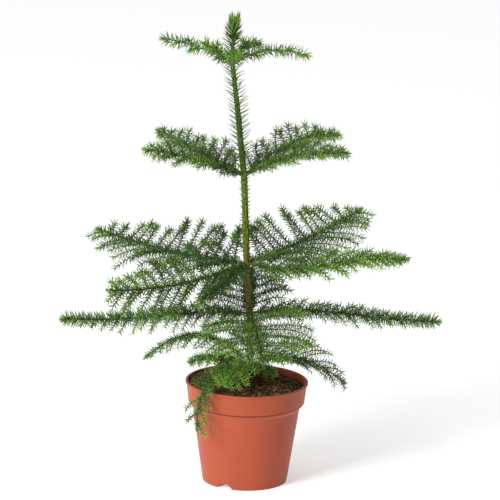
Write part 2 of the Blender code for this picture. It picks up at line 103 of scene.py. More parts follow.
half = FLOOR_SIZE / 2
floor_mesh = bpy.data.meshes.new("floor")
floor_mesh.from_pydata([(-half, -half, 0), (half, -half, 0), (half, half, 0), (-half, half, 0)],
                       [], [(0, 1, 2, 3)])
floor = bpy.data.objects.new("floor", floor_mesh)
bpy.context.scene.collection.objects.link(floor)
floor_paint = bpy.data.materials.new("floor_white")
floor_paint.use_nodes = True
floor_shader = floor_paint.node_tree.nodes["Principled BSDF"]
floor_shader.inputs["Base Color"].default_value = (0.95, 0.95, 0.95, 1)
floor_shader.inputs["Roughness"].default_value = 0.9
floor_shader.inputs["Specular IOR Level"].default_value = 0.1
floor_shader.inputs["Emission Color"].default_value = (1, 1, 1, 1)
floor_shader.inputs["Emission Strength"].default_value = FLOOR_GLOW
floor_mesh.materials.append(floor_paint)

key = bpy.data.objects.new("key_light", bpy.data.lights.new("key_light", "AREA"))
key.data.energy = KEY_POWER
key.data.size = KEY_SIZE
key.location = KEY_PLACE
key.rotation_euler = (KEY_AIM - KEY_PLACE).to_track_quat("-Z", "Y").to_euler()
bpy.context.scene.collection.objects.link(key)

# --- Pot ----------------------------------------------------------------------------------------
# A thin injection-moulded nursery pot of terracotta-coloured plastic: a tapered cup with a rim
# band, a rolled lip and drain notches in its foot.  It is turned from one profile.

POT_HEIGHT = 100 * MM
POT_RIM_RADIUS = 60 * MM
POT_FOOT_RADIUS = 41.5 * MM
POT_WALL = 1.5 * MM
POT_LIP = 2.2 * MM
POT_LIP_STEP = 1.1 * MM
BAND_FOOT = 79.5 * MM
BAND_FOOT_RADIUS = 56.8 * MM
CHAMFER_FOOT = 74.5 * MM
CHAMFER_FOOT_RADIUS = 52.4 * MM
NOTCH_COUNT = 3
NOTCH_WIDTH = 17.5 * MM
NOTCH_HEIGHT = 4.8 * MM
NOTCH_DEPTH = 14 * MM
NOTCH_TURN = math.radians(-118)
NOTCH_REACH = 12 * MM       # the part of the wall, from the foot up, whose rings a notch moves
POT_CORNER = 0.55 * MM
POLE_RADIUS = 0.5 * MM      # the ring next to a pole
POT_SIDES = 288


def mesh_piece(name, vertices, faces, smooth=True):
    """A new object of vertices, an array (n, 3), and faces, an array (m, 3) or (m, 4).

    A face row of four whose last two corners are alike is a triangle.
    """
    vertices = np.asarray(vertices, dtype=np.float32)
    faces = np.asarray(faces, dtype=np.int32)
    if faces.shape[1] == 4:
        sizes = np.where(faces[:, 2] == faces[:, 3], 3, 4)
        keep = np.ones(faces.shape, dtype=bool)
        keep[:, 3] = sizes == 4
        corners = faces[keep]
    else:
        sizes = np.full(len(faces), 3)
        corners = faces.ravel()
    mesh = bpy.data.meshes.new(name)
    mesh.vertices.add(len(vertices))
    mesh.vertices.foreach_set("co", vertices.ravel())
    mesh.loops.add(len(corners))
    mesh.loops.foreach_set("vertex_index", corners)
    mesh.polygons.add(len(faces))
    starts = np.concatenate([[0], np.cumsum(sizes)[:-1]]).astype(np.int32)
    mesh.polygons.foreach_set("loop_start", starts)
    mesh.update(calc_edges=True)
    mesh.validate()
    if smooth:
        mesh.shade_smooth()
    piece = bpy.data.objects.new(name, mesh)
    bpy.context.scene.collection.objects.link(piece)
    return piece


def ring_faces(rings, sides, first=0):
    """Quads of a surface of rings round rings, each of as many points as sides, outward."""
    ring, side = np.meshgrid(np.arange(rings - 1), np.arange(sides), indexing="ij")
    after = (side + 1) % sides
    low = first + ring * sides
    quads = np.stack([low + side, low + after, low + sides + after, low + sides + side], axis=-1)
    return quads.reshape(-1, 4)


def closed_faces(rings, sides):
    """Those quads and a fan to a pole at each end: the two poles come after the rings."""
    side = np.arange(sides)
    after = (side + 1) % sides
    pole = rings * sides
    last = pole - sides
    foot_fan = np.stack([np.full(sides, pole), after, side, side], axis=-1)
    top_pole = np.full(sides, pole + 1)
    top_fan = np.stack([last + side, last + after, top_pole, top_pole], axis=-1)
    return np.concatenate([ring_faces(rings, sides), foot_fan, top_fan])


def turned(radii, heights, turn):
    """Points of a surface of rings round the Z axis: radii and heights by ring and angle."""
    return np.stack([radii * np.cos(turn), radii * np.sin(turn), heights + 0 * turn], axis=-1)


def rounded(profile, radius, steps=5):
    """A profile of (r, z) corners with every corner but the ends turned into a short curve.

    Each corner becomes a quadratic curve from the point radius before it to the one after it.
    """
    points = [np.array(profile[0])]
    for before, corner, after in zip(profile[:-2], profile[1:-1], profile[2:]):
        before, corner, after = map(np.array, (before, corner, after))
        back = before - corner
        ahead = after - corner
        cut = min(radius, 0.45 * np.linalg.norm(back), 0.45 * np.linalg.norm(ahead))
        start = corner + back / np.linalg.norm(back) * cut
        end = corner + ahead / np.linalg.norm(ahead) * cut
        share = np.linspace(0, 1, steps)[:, None]
        points += list((1 - share) ** 2 * start + 2 * share * (1 - share) * corner
                       + share ** 2 * end)
    points.append(np.array(profile[-1]))
    return np.array(points)


def subdivided(points, step):
    """The same line of points with extra ones, so that no stretch is longer than step."""
    result = [points[:1]]
    for start, end in zip(points[:-1], points[1:]):
        count = max(1, math.ceil(np.linalg.norm(end - start) / step))
        share = np.linspace(0, 1, count + 1)[1:, None]
        result.append(start + (end - start) * share)
    return np.concatenate(result)


def wall_radius(z):
    """Outer radius of the pot's plain wall at a height."""
    return POT_FOOT_RADIUS + (CHAMFER_FOOT_RADIUS - POT_FOOT_RADIUS) * z / CHAMFER_FOOT


def notch_lift(turn):
    """How far the foot's edge is cut up at each angle: a flat top with slanted ends."""
    period = math.tau / NOTCH_COUNT
    offset = (turn - NOTCH_TURN + period / 2) % period - period / 2
    across = np.abs(offset) * POT_FOOT_RADIUS
    return np.clip(NOTCH_WIDTH / 2 - across, 0, NOTCH_HEIGHT)


lip_foot = POT_HEIGHT - POT_LIP
band_top_radius = POT_RIM_RADIUS - POT_LIP_STEP
inner_floor = NOTCH_HEIGHT + POT_WALL
outer_profile = [
    (POT_FOOT_RADIUS, 0), (CHAMFER_FOOT_RADIUS, CHAMFER_FOOT), (BAND_FOOT_RADIUS, BAND_FOOT),
    (band_top_radius, lip_foot), (POT_RIM_RADIUS, lip_foot + 0.15 * MM),
    (POT_RIM_RADIUS, POT_HEIGHT), (band_top_radius - POT_WALL, POT_HEIGHT),
    (BAND_FOOT_RADIUS - POT_WALL, BAND_FOOT), (CHAMFER_FOOT_RADIUS - POT_WALL, CHAMFER_FOOT),
    (wall_radius(inner_floor) - POT_WALL, inner_floor), (POLE_RADIUS, inner_floor)]
pot_line = subdivided(rounded(outer_profile, POT_CORNER), 4 * MM)
notch_end = POT_FOOT_RADIUS - NOTCH_DEPTH
foot_radii = [POLE_RADIUS, 12 * MM, 22 * MM, notch_end, notch_end, POT_FOOT_RADIUS - 0.9 * MM]
foot_line = np.stack([foot_radii, np.zeros(6)], axis=-1)
pot_line = np.concatenate([foot_line, pot_line])
pot_turn = np.arange(POT_SIDES) * math.tau / POT_SIDES
pot_radius = np.repeat(pot_line[:, :1], POT_SIDES, axis=1)
pot_z = np.repeat(pot_line[:, 1:], POT_SIDES, axis=1)
# The last two rings under the foot rise at a notch, and the wall's lowest rings start above it.
lift = notch_lift(pot_turn)
foot_rows = slice(4, 6)
pot_z[foot_rows] += lift
wall_rows = slice(6, 6 + int((pot_line[6:, 0] < wall_radius(NOTCH_REACH)).argmin()))
low_wall = pot_z[wall_rows]
pot_z[wall_rows] = np.where(low_wall < lift, lift + 0.02 * low_wall, low_wall)
pot_radius[wall_rows] = np.where(low_wall < lift, wall_radius(pot_z[wall_rows]),
                                 pot_radius[wall_rows])
pot_points = turned(pot_radius, pot_z, pot_turn).reshape(-1, 3)
pot_vertices = np.concatenate([pot_points, [(0, 0, 0), (0, 0, inner_floor)]])
pot = mesh_piece("pot_shell", pot_vertices, closed_faces(len(pot_line), POT_SIDES))
pot.data.set_sharp_from_angle(angle=math.radians(40))


def node_group(name, inputs, outputs):
    """A new shader group with the named float or colour sockets, and its two end nodes."""
    group = bpy.data.node_groups.new(name, "ShaderNodeTree")
    for label, kind, value in inputs:
        socket = group.interface.new_socket(name=label, in_out="INPUT", socket_type=kind)
        socket.default_value = value
    for label, kind in outputs:
        group.interface.new_socket(name=label, in_out="OUTPUT", socket_type=kind)
    return group, group.nodes.new("NodeGroupInput"), group.nodes.new("NodeGroupOutput")


def add(tree, kind, **values):
    """A new node in a tree.  A value goes to the node's property of its name, or its socket."""
    node = tree.nodes.new(kind)
    for name, value in values.items():
        label = name.replace("_", " ").title()
        if hasattr(node, name):
            setattr(node, name, value)
        else:
            node.inputs[label].default_value = value
    return node


def principled(name, specular):
    """A new material, its tree and its Principled shader, with a plain specular level."""
    material = bpy.data.materials.new(name)
    material.use_nodes = True
    tree = material.node_tree
    shader = tree.nodes["Principled BSDF"]
    shader.inputs["Specular IOR Level"].default_value = specular
    return material, tree, shader


# Mottle: soft noise that varies a colour's value and a roughness, for any material.
mottle, mottle_in, mottle_out = node_group(
    "mottle",
    [("Colour", "NodeSocketColor", (0.5, 0.5, 0.5, 1)),
     ("Coordinates", "NodeSocketVector", (0, 0, 0)),
     ("Scale", "NodeSocketFloat", 60.0), ("Strength", "NodeSocketFloat", 0.2),
     ("Roughness", "NodeSocketFloat", 0.5), ("Roughness Spread", "NodeSocketFloat", 0.1)],
    [("Colour", "NodeSocketColor"), ("Roughness", "NodeSocketFloat")])
coarse = add(mottle, "ShaderNodeTexNoise", detail=4.0, roughness=0.6)
mottle.links.new(mottle_in.outputs["Coordinates"], coarse.inputs["Vector"])
mottle.links.new(mottle_in.outputs["Scale"], coarse.inputs["Scale"])
spread = add(mottle, "ShaderNodeMapRange", from_min=0.3, from_max=0.7, to_min=-1.0, to_max=1.0)
mottle.links.new(coarse.outputs["Fac"], spread.inputs["Value"])
by_strength = add(mottle, "ShaderNodeMath", operation="MULTIPLY_ADD")
by_strength.inputs[2].default_value = 1.0
mottle.links.new(spread.outputs["Result"], by_strength.inputs[0])
mottle.links.new(mottle_in.outputs["Strength"], by_strength.inputs[1])
tinted = add(mottle, "ShaderNodeVectorMath", operation="SCALE")
mottle.links.new(mottle_in.outputs["Colour"], tinted.inputs["Vector"])
mottle.links.new(by_strength.outputs["Value"], tinted.inputs["Scale"])
by_spread = add(mottle, "ShaderNodeMath", operation="MULTIPLY_ADD")
mottle.links.new(spread.outputs["Result"], by_spread.inputs[0])
mottle.links.new(mottle_in.outputs["Roughness Spread"], by_spread.inputs[1])
mottle.links.new(mottle_in.outputs["Roughness"], by_spread.inputs[2])
mottle.links.new(tinted.outputs["Vector"], mottle_out.inputs["Colour"])
mottle.links.new(by_spread.outputs["Value"], mottle_out.inputs["Roughness"])


def object_place(tree):
    """The Object coordinates, as a socket of a material's tree."""
    return add(tree, "ShaderNodeTexCoord").outputs["Object"]


def ranged(tree, value, low, high):
    """A socket's value turned into a share: 0 at low, 1 at high, and held between them."""
    node = add(tree, "ShaderNodeMapRange", from_min=low, from_max=high)
    tree.links.new(value, node.inputs["Value"])
    return node.outputs["Result"]


def ranged_axis(tree, axis, low, high):
    """How far a point is from low to high along one of the Object axes, as a share."""
    split = add(tree, "ShaderNodeSeparateXYZ")
    tree.links.new(object_place(tree), split.inputs["Vector"])
    return ranged(tree, split.outputs[axis], low, high)


def noise(tree, scale, detail):
    """Soft noise on Object coordinates: scale is its count of lumps in a metre."""
    node = add(tree, "ShaderNodeTexNoise", scale=scale, detail=detail)
    tree.links.new(object_place(tree), node.inputs["Vector"])
    return node.outputs["Fac"]


def put_colour(tree, colour, socket):
    """Gives a socket a plain colour, or links another socket's colour to it."""
    if isinstance(colour, tuple):
        socket.default_value = (*colour, 1)
    else:
        tree.links.new(colour, socket)


def mixed(tree, share, low, high):
    """The colour low where share is 0, high where it is 1, and a mix between."""
    node = add(tree, "ShaderNodeMix", data_type="RGBA")
    tree.links.new(share, node.inputs["Factor"])
    put_colour(tree, low, node.inputs[6])
    put_colour(tree, high, node.inputs[7])
    return node.outputs[2]


def banded(tree, share, stops):
    """The colours of a row of (share, colour) stops, straight between one and the next."""
    ramp = add(tree, "ShaderNodeValToRGB")
    tree.links.new(share, ramp.inputs["Fac"])
    elements = ramp.color_ramp.elements
    for element, (place, colour) in zip((elements[0], elements[1]), (stops[0], stops[-1])):
        element.position = place
        element.color = (*colour, 1)
    for place, colour in stops[1:-1]:
        elements.new(place).color = (*colour, 1)
    return ramp.outputs["Color"]


def mottled(tree, shader, colour, scale, strength, roughness, spread):
    """Adds the mottle group to a material, on Object coordinates, and links it to the shader."""
    node = tree.nodes.new("ShaderNodeGroup")
    node.node_tree = mottle
    values = {"Scale": scale, "Strength": strength, "Roughness": roughness,
              "Roughness Spread": spread}
    for label, value in values.items():
        node.inputs[label].default_value = value
    put_colour(tree, colour, node.inputs["Colour"])
    tree.links.new(object_place(tree), node.inputs["Coordinates"])
    tree.links.new(node.outputs["Colour"], shader.inputs["Base Color"])
    tree.links.new(node.outputs["Roughness"], shader.inputs["Roughness"])


def grained(tree, shader, scale, distance, detail=3.0):
    """Fine noise bump, as on moulded plastic or bark: distance is its height in metres."""
    bump = add(tree, "ShaderNodeBump", distance=distance)
    tree.links.new(noise(tree, scale, detail), bump.inputs["Height"])
    tree.links.new(bump.outputs["Normal"], shader.inputs["Normal"])


def finish(pieces, name, specular, colour, mottling, grain=None):
    """A material of one mottled colour for pieces.

    mottling holds mottled's scale, strength, roughness and spread, and grain holds grained's
    scale, distance and detail.
    """
    material, tree, shader = principled(name, specular)
    mottled(tree, shader, colour, *mottling)
    if grain:
        grained(tree, shader, *grain)
    for piece in pieces:
        piece.data.materials.append(material)


POT_COLOUR = (0.395, 0.078, 0.034)
# The next two colours are painted shade under the band and painted light on the slope below it.
GROOVE_PAINTED_SHADE = (0.15, 0.022, 0.008)
CHAMFER_PAINTED_LIGHT = (0.44, 0.085, 0.037)
plastic, plastic_tree, plastic_shader = principled("terracotta_plastic", 0.21)
# Painted shade: a thin dark line runs round under the band, where its corner falls in shade, and
# painted light makes the slope below it a little lighter.
band_colours_and_painted_shade = banded(plastic_tree, ranged_axis(plastic_tree, "Z", 0.07, 0.082), (
    (0.30, POT_COLOUR), (0.42, CHAMFER_PAINTED_LIGHT), (0.66, CHAMFER_PAINTED_LIGHT), (0.74, GROOVE_PAINTED_SHADE),
    (0.81, GROOVE_PAINTED_SHADE), (0.85, POT_COLOUR)))
mottled(plastic_tree, plastic_shader, band_colours_and_painted_shade, 28.0, 0.05, 0.45, 0.05)
grained(plastic_tree, plastic_shader, 900.0, 0.00006)
pot.data.materials.append(plastic)
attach(pot, "root")
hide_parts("pot")

# --- Soil ---------------------------------------------------------------------------------------
# Damp potting mix of peat and coir, heaped a little round the stem: a rough surface with moss at
# the left, and crumbs, coir fibres, straws, pale chips and a clump of old litter lying on it.

SOIL_TOP = 96 * MM
SOIL_EDGE_DROP = 1.6 * MM
SOIL_FOOT = 6.8 * MM
SOIL_GAP = 0.3 * MM
SOIL_RINGS = 70
SOIL_SIDES = 220
CRUMB_COUNT = 1500
FIBRE_COUNT = 520
CHIP_COUNT = 60
STEM_FOOT = np.array([4.0 * MM, 0.0])
MOUND_HEIGHT = 3.2 * MM
MOUND_WIDTH = 9 * MM
BANK_HEIGHT = 4.5 * MM      # how far the soil rises towards the left and back wall


def waves(x, y, size, seed, count=24):
    """Rough ground: a sum of plane waves of random direction, lengths from size down to a fifth.

    Each wave's height falls in step with its length.  The result is about -1 to 1.
    """
    rng = np.random.default_rng(seed)
    total = 0.0
    weight = 0.0
    for _ in range(count):
        length = size * rng.uniform(0.2, 1.0)
        turn = rng.uniform(0, math.tau)
        phase = rng.uniform(0, math.tau)
        height = length / size
        along = x * math.cos(turn) + y * math.sin(turn)
        total = total + height * np.sin(math.tau / length * along + phase)
        weight += height ** 2
    return total / math.sqrt(weight) / 1.5


def soil_height(x, y):
    """Height of the soil: level - drop r^3 + mound exp(-(d / width)^2) + bank + two rough waves.

    r is the distance from the pot's axis as a share, d is the distance from the stem, and the
    bank rises towards the left and back wall.
    """
    radius = np.hypot(x, y) / (56 * MM)
    from_stem = np.hypot(x - STEM_FOOT[0], y - STEM_FOOT[1])
    mound = MOUND_HEIGHT * np.exp(-(from_stem / MOUND_WIDTH) ** 2)
    level = SOIL_TOP - SOIL_EDGE_DROP * radius ** 3 - 0.9 * MM
    level = level + BANK_HEIGHT * np.clip((-0.9 * x + 0.35 * y) / (48 * MM), 0, 1) ** 1.5
    return level + mound + 1.1 * MM * waves(x, y, 16 * MM, 3) + 0.5 * MM * waves(x, y, 4 * MM, 4)


band_spread = band_top_radius - BAND_FOOT_RADIUS
edge_z = SOIL_TOP - SOIL_EDGE_DROP
band_inner = BAND_FOOT_RADIUS - POT_WALL - SOIL_GAP
soil_radius = band_inner + band_spread * (edge_z - BAND_FOOT) / (POT_HEIGHT - BAND_FOOT)
ring_share = np.linspace(0.01, 1, SOIL_RINGS)[::-1]
soil_turn = np.arange(SOIL_SIDES) * math.tau / SOIL_SIDES
soil_reach = soil_radius * ring_share[:, None]
soil_tops = soil_height(soil_reach * np.cos(soil_turn), soil_reach * np.sin(soil_turn))
soil_wall = np.array([
    (wall_radius(SOIL_FOOT) - POT_WALL - SOIL_GAP, SOIL_FOOT),
    (CHAMFER_FOOT_RADIUS - POT_WALL - SOIL_GAP, CHAMFER_FOOT), (band_inner, BAND_FOOT)])
soil_points = np.concatenate([turned(soil_wall[:, :1], soil_wall[:, 1:], soil_turn),
                              turned(soil_reach, soil_tops, soil_turn)]).reshape(-1, 3)
soil_middle = float(soil_height(np.zeros(1), np.zeros(1))[0])
soil = mesh_piece("soil_surface",
                  np.concatenate([soil_points, [(0, 0, SOIL_FOOT), (0, 0, soil_middle)]]),
                  closed_faces(len(soil_wall) + SOIL_RINGS, SOIL_SIDES))


def crumbs(centres, sizes, seed):
    """Closed eight-faced lumps: six points out from each centre, each at its own distance."""
    rng = np.random.default_rng(seed)
    count = len(centres)
    ends = np.array([(1, 0, 0), (-1, 0, 0), (0, 1, 0), (0, -1, 0), (0, 0, 1), (0, 0, -1)], float)
    turn = rng.uniform(0, math.tau, count)
    cos, sin = np.cos(turn), np.sin(turn)
    reach = sizes[:, None, :] * rng.uniform(0.7, 1.2, (count, 6, 1)) * ends
    spun = np.stack([reach[..., 0] * cos[:, None] - reach[..., 1] * sin[:, None],
                     reach[..., 0] * sin[:, None] + reach[..., 1] * cos[:, None], reach[..., 2]], -1)
    vertices = (centres[:, None, :] + spun).reshape(-1, 3)
    lump = np.array([(0, 2, 4), (2, 1, 4), (1, 3, 4), (3, 0, 4), (2, 0, 5), (1, 2, 5), (3, 1, 5),
                     (0, 3, 5)])
    faces = (lump[None] + 6 * np.arange(count)[:, None, None]).reshape(-1, 3)
    return vertices, faces


def scattered(count, rng, limit):
    """Random places on the soil within a radius, evenly over its area, clear of the stem."""
    radius = limit * np.sqrt(rng.uniform(0, 1, count))
    turn = rng.uniform(0, math.tau, count)
    x, y = radius * np.cos(turn), radius * np.sin(turn)
    clear = np.hypot(x - STEM_FOOT[0], y - STEM_FOOT[1]) > 5.5 * MM
    return x[clear], y[clear]


soil_rng = np.random.default_rng(11)
x, y = scattered(CRUMB_COUNT, soil_rng, soil_radius - 2 * MM)
crumb_size = 0.35 * MM + 1.1 * MM * soil_rng.uniform(0, 1, (len(x), 1)) ** 2.5
crumb_size = crumb_size * soil_rng.uniform(0.7, 1.2, (len(x), 3))
crumb_centres = np.stack([x, y, soil_height(x, y) + 0.3 * crumb_size[:, 2]], -1)
soil_crumbs = mesh_piece("soil_crumbs", *crumbs(crumb_centres, crumb_size, 12), smooth=False)

LARGE_CHIPS = np.array([(12, -31), (-6, -22), (-2, -36), (31, -30), (-24, -30)]) * MM
LARGE_CHIP_SIZE = np.array([3.6, 2.2, 0.9]) * MM
x, y = scattered(CHIP_COUNT, soil_rng, soil_radius - 3 * MM)
chip_size = soil_rng.uniform(0.5, 1.6, (len(x), 3)) * np.array([1.6, 0.9, 0.4]) * MM
x = np.append(x, LARGE_CHIPS[:, 0])
y = np.append(y, LARGE_CHIPS[:, 1])
chip_size = np.concatenate([chip_size, np.tile(LARGE_CHIP_SIZE, (len(LARGE_CHIPS), 1))])
chip_centres = np.stack([x, y, soil_height(x, y) + 0.5 * MM], -1)
soil_chips = mesh_piece("soil_chips", *crumbs(chip_centres, chip_size, 13), smooth=False)


def strands(starts, headings, lengths, bends, radius, lift, rings=6):
    """Closed three-sided strands that lie on the soil and curl: their heading turns evenly.

    At share t a strand has gone length t along its heading, which has turned by bend t, and it
    stands lift sin(pi t) above the ground under it.
    """
    share = np.linspace(0, 1, rings)
    heading = headings[:, None] + bends[:, None] * share
    step = lengths[:, None] / (rings - 1)
    x = starts[:, :1] + np.cumsum(step * np.cos(heading), axis=1)
    y = starts[:, 1:] + np.cumsum(step * np.sin(heading), axis=1)
    z = soil_height(x, y) + radius + lift[:, None] * np.sin(math.pi * share)
    centre = np.stack([x, y, z], -1)
    across = np.stack([-np.sin(heading), np.cos(heading), np.zeros_like(heading)], -1)
    up = np.array([0, 0, 1.0])
    taper = (1 - 0.7 * np.abs(2 * share - 1) ** 2)[None, :, None]
    turn = np.arange(3) * math.tau / 3
    points = (centre[:, :, None] + radius * taper[..., None]
              * (np.cos(turn)[:, None] * across[:, :, None] + np.sin(turn)[:, None] * up))
    count = len(starts)
    quads = ring_faces(rings, 3)
    ends = np.array([(0, 2, 1, 1), (3 * rings - 3, 3 * rings - 2, 3 * rings - 1, 3 * rings - 1)])
    one = np.concatenate([quads, ends])
    faces = (one[None] + 3 * rings * np.arange(count)[:, None, None]).reshape(-1, 4)
    return points.reshape(-1, 3), faces


x, y = scattered(FIBRE_COUNT, soil_rng, soil_radius - 9 * MM)
count = len(x)
fibres = mesh_piece("soil_fibres", *strands(
    np.stack([x, y], -1), soil_rng.uniform(0, math.tau, count), soil_rng.uniform(4, 13, count) * MM,
    soil_rng.normal(0, 1.1, count), 0.13 * MM, soil_rng.uniform(0.2, 1.6, count) * MM))

STRAW_COUNT = 50
STRAW_LOW = np.array([10.0, -46.0]) * MM
STRAW_HIGH = np.array([50.0, 8.0]) * MM
straw_starts = soil_rng.uniform(STRAW_LOW, STRAW_HIGH, (STRAW_COUNT, 2))
straw_starts = straw_starts[np.hypot(*straw_starts.T) < soil_radius - 14 * MM]
count = len(straw_starts)
straws = mesh_piece("soil_straws", *strands(
    straw_starts, soil_rng.uniform(0, math.tau, count), soil_rng.uniform(8, 15, count) * MM,
    soil_rng.normal(0, 0.7, count), 0.33 * MM, soil_rng.uniform(1, 5, count) * MM))


def heap(centre, radius, height, seed, rings=40, sides=64):
    """A closed lumpy mound: r = radius (1 - v^6) and z = height v, for v from 0 to 1.

    Two sizes of waves, the second half as long, push the surface in and out.
    """
    v = np.linspace(0, 1, rings)[:, None]
    turn = np.arange(sides) * math.tau / sides
    reach = radius * (1 - v ** 6) + 0 * turn
    x = reach * np.cos(turn)
    y = reach * np.sin(turn)
    rough = waves(x + 0.6 * height * v, y - 0.7 * height * v, 5 * MM, seed)
    fine = waves(2 * x + height * v, 2 * y + height * v, 3 * MM, seed + 1)
    reach = reach * (1 + 0.2 * rough + 0.12 * fine) + 0.01 * MM
    z = height * (v + 0.06 * rough * (1 - v))
    points = np.stack([centre[0] + reach * np.cos(turn), centre[1] + reach * np.sin(turn),
                       centre[2] + z], -1).reshape(-1, 3)
    ends = np.array([centre, centre + np.array([0, 0, 1.01 * height])])
    return np.concatenate([points, ends]), closed_faces(rings, sides)


LITTER_PLACE = np.array([8.6, -1.5, 93.0]) * MM
LITTER_RADIUS = 6 * MM
LITTER_HEIGHT = 24 * MM
LITTER_CRUMBS = 150
LITTER_SPREAD = 4.2 * MM
LITTER_LOW = 95.5 * MM
stem_litter = mesh_piece("stem_litter", *heap(LITTER_PLACE, LITTER_RADIUS, LITTER_HEIGHT, 31))
x, y = soil_rng.normal(0, LITTER_SPREAD, (2, LITTER_CRUMBS))
litter_z = soil_rng.uniform(95, 114, LITTER_CRUMBS) * MM - 1.2 * np.hypot(x, y)
litter_size = soil_rng.uniform(0.4, 1.5, (LITTER_CRUMBS, 3)) * np.array([1, 1, 0.7]) * MM
litter_centres = np.stack([x + LITTER_PLACE[0], y - 3 * MM, np.maximum(litter_z, LITTER_LOW)], -1)
litter_crumbs = mesh_piece("litter_crumbs", *crumbs(litter_centres, litter_size, 32), smooth=False)

PEAT_COLOUR = (0.058, 0.034, 0.012)
PEAT_PALE = (0.30, 0.18, 0.06)
MOSS_COLOUR = (0.075, 0.10, 0.022)
COIR_COLOUR = (0.36, 0.21, 0.09)
STRAW_COLOUR = (0.55, 0.31, 0.15)
LITTER_COLOUR = (0.125, 0.055, 0.024)
CHIP_COLOUR = (0.36, 0.22, 0.15)
peat, peat_tree, peat_shader = principled("peat", 0.25)
peat_colours = mixed(peat_tree, ranged(peat_tree, noise(peat_tree, 520.0, 6.0), 0.52, 0.72),
                     PEAT_COLOUR, PEAT_PALE)
# Moss greens the soil towards the left edge, in patches.
moss_share = add(peat_tree, "ShaderNodeMath", operation="MULTIPLY")
peat_tree.links.new(ranged_axis(peat_tree, "X", 0.0, -0.035), moss_share.inputs[0])
peat_tree.links.new(ranged(peat_tree, noise(peat_tree, 190.0, 4.0), 0.42, 0.62),
                    moss_share.inputs[1])
mossy = mixed(peat_tree, moss_share.outputs["Value"], peat_colours, MOSS_COLOUR)
mottled(peat_tree, peat_shader, mossy, 110.0, 0.75, 0.92, 0.08)
grained(peat_tree, peat_shader, 1400.0, 0.0004, detail=5.0)
soil.data.materials.append(peat)
soil_crumbs.data.materials.append(peat)

finish([fibres], "coir", 0.3, COIR_COLOUR, (160.0, 0.6, 0.8, 0.1))
finish([straws], "straw", 0.3, STRAW_COLOUR, (220.0, 0.5, 0.7, 0.1))
finish([stem_litter, litter_crumbs], "litter", 0.2, LITTER_COLOUR, (420.0, 0.85, 0.95, 0.05),
       (1300.0, 0.0004, 5.0))
finish([soil_chips], "pale_chips", 0.3, CHIP_COLOUR, (300.0, 0.4, 0.85, 0.1))

for piece in (soil, soil_crumbs, soil_chips, fibres, straws, stem_litter, litter_crumbs):
    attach(piece, "root")
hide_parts("soil")

# --- Stem ---------------------------------------------------------------------------------------
# The young tree's one stem: it leans, flares a little at its foot in the soil, and thins to the
# leader.  It is brown and ringed low down, and green and ridged by old needle bases higher up.

STEM_Z = np.array([96.3, 115, 140, 168, 200, 218, 250, 304, 345, 375, 414, 437, 460]) * MM
STEM_X = np.array([4.0, 2.8, 2.0, 1.1, -1.3, -2.9, -4.5, -7.4, -12.4, -15.8, -21.3, -21, -20]) * MM
STEM_RADIUS_Z = np.array([96.3, 99, 107, 200, 304, 360, 414, 460]) * MM
STEM_RADIUS = np.array([4.6, 3.7, 3.2, 3.1, 2.9, 2.5, 1.9, 0.8]) * MM
STEM_SIDES = 48
STEM_STEP = 0.9 * MM
STEM_SINK = 2.5 * MM        # how far the stem's foot goes into the soil


def stem_x(z):
    """Sideways place of the stem at a height: its corners' straight line, averaged over 16 mm."""
    offsets = np.linspace(-8, 8, 9) * MM
    heights = np.clip(np.asarray(z)[..., None] + offsets, STEM_Z[0], STEM_Z[-1])
    return np.interp(heights, STEM_Z, STEM_X).mean(axis=-1)


def stem_radius(z):
    """Radius of the stem at a height."""
    return np.interp(z, STEM_RADIUS_Z, STEM_RADIUS)


def stem_relief(turn, z):
    """Relief of the bark: spiral ridges of needle bases high up, ring scars and cracks low down.

    Ridges: eight cosine waves round the stem that wind once in 60 mm, cut into scales 3 mm long.
    Rings: a bump exp(-d^2 / 0.02) in each 5.2 mm, d from its middle as a share.  Cracks: waves.
    """
    green = np.clip((z - 200 * MM) / (30 * MM), 0, 1)
    ridges = np.cos(8 * turn + math.tau * z / (60 * MM)) * (0.6 + 0.4 * np.cos(
        math.tau * z / (3 * MM) + 3 * turn))
    rings = np.exp(-((z / (5.2 * MM)) % 1 - 0.5) ** 2 / 0.02)
    cracks = waves(3 * MM * np.cos(turn) + 0.2 * z, 3 * MM * np.sin(turn) - 0.1 * z, 1.6 * MM, 21)
    return 0.42 * MM * green * ridges + (1 - green) * (0.2 * MM * rings + 0.16 * MM * cracks)


stem_heights = np.arange(STEM_Z[0] - STEM_SINK, STEM_Z[-1], STEM_STEP)
stem_turn = np.arange(STEM_SIDES) * math.tau / STEM_SIDES
z_grid = stem_heights[:, None]
stem_reach = stem_radius(z_grid) + stem_relief(stem_turn[None], z_grid)
stem_points = turned(stem_reach, z_grid, stem_turn)
stem_points[..., 0] += stem_x(z_grid)
stem_poles = [(float(stem_x(z)), 0, z) for z in (stem_heights[0], stem_heights[-1] + MM)]
stem = mesh_piece("stem", np.concatenate([stem_points.reshape(-1, 3), stem_poles]),
                  closed_faces(len(stem_heights), STEM_SIDES))


def paint(red, green, blue):
    """A linear colour from the red, green and blue of 0 to 255 that a screen shows."""
    values = np.array([red, green, blue]) / 255
    return tuple(np.where(values < 0.04045, values / 12.92, ((values + 0.055) / 1.055) ** 2.4))


bark, bark_tree, bark_shader = principled("stem_bark", 0.15)
# Its colour by height: brown between the whorls low down, then olive, then green.
bark_colours = banded(bark_tree, ranged_axis(bark_tree, "Z", 0.09, 0.47), (
    (0.0, paint(74, 52, 24)), (0.07, paint(88, 88, 32)), (0.18, paint(104, 92, 34)),
    (0.30, paint(102, 94, 34)), (0.36, paint(94, 92, 30)), (0.42, paint(92, 102, 28)),
    (0.50, paint(84, 106, 30)), (0.565, paint(80, 104, 28)), (0.60, paint(62, 84, 24)),
    (0.76, paint(62, 86, 24)), (0.88, paint(86, 122, 40))))
mottled(bark_tree, bark_shader, bark_colours, 420.0, 0.85, 0.68, 0.1)
grained(bark_tree, bark_shader, 1500.0, 0.00012, detail=4.0)
stem.data.materials.append(bark)
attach(stem, "root")
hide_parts("trunk")

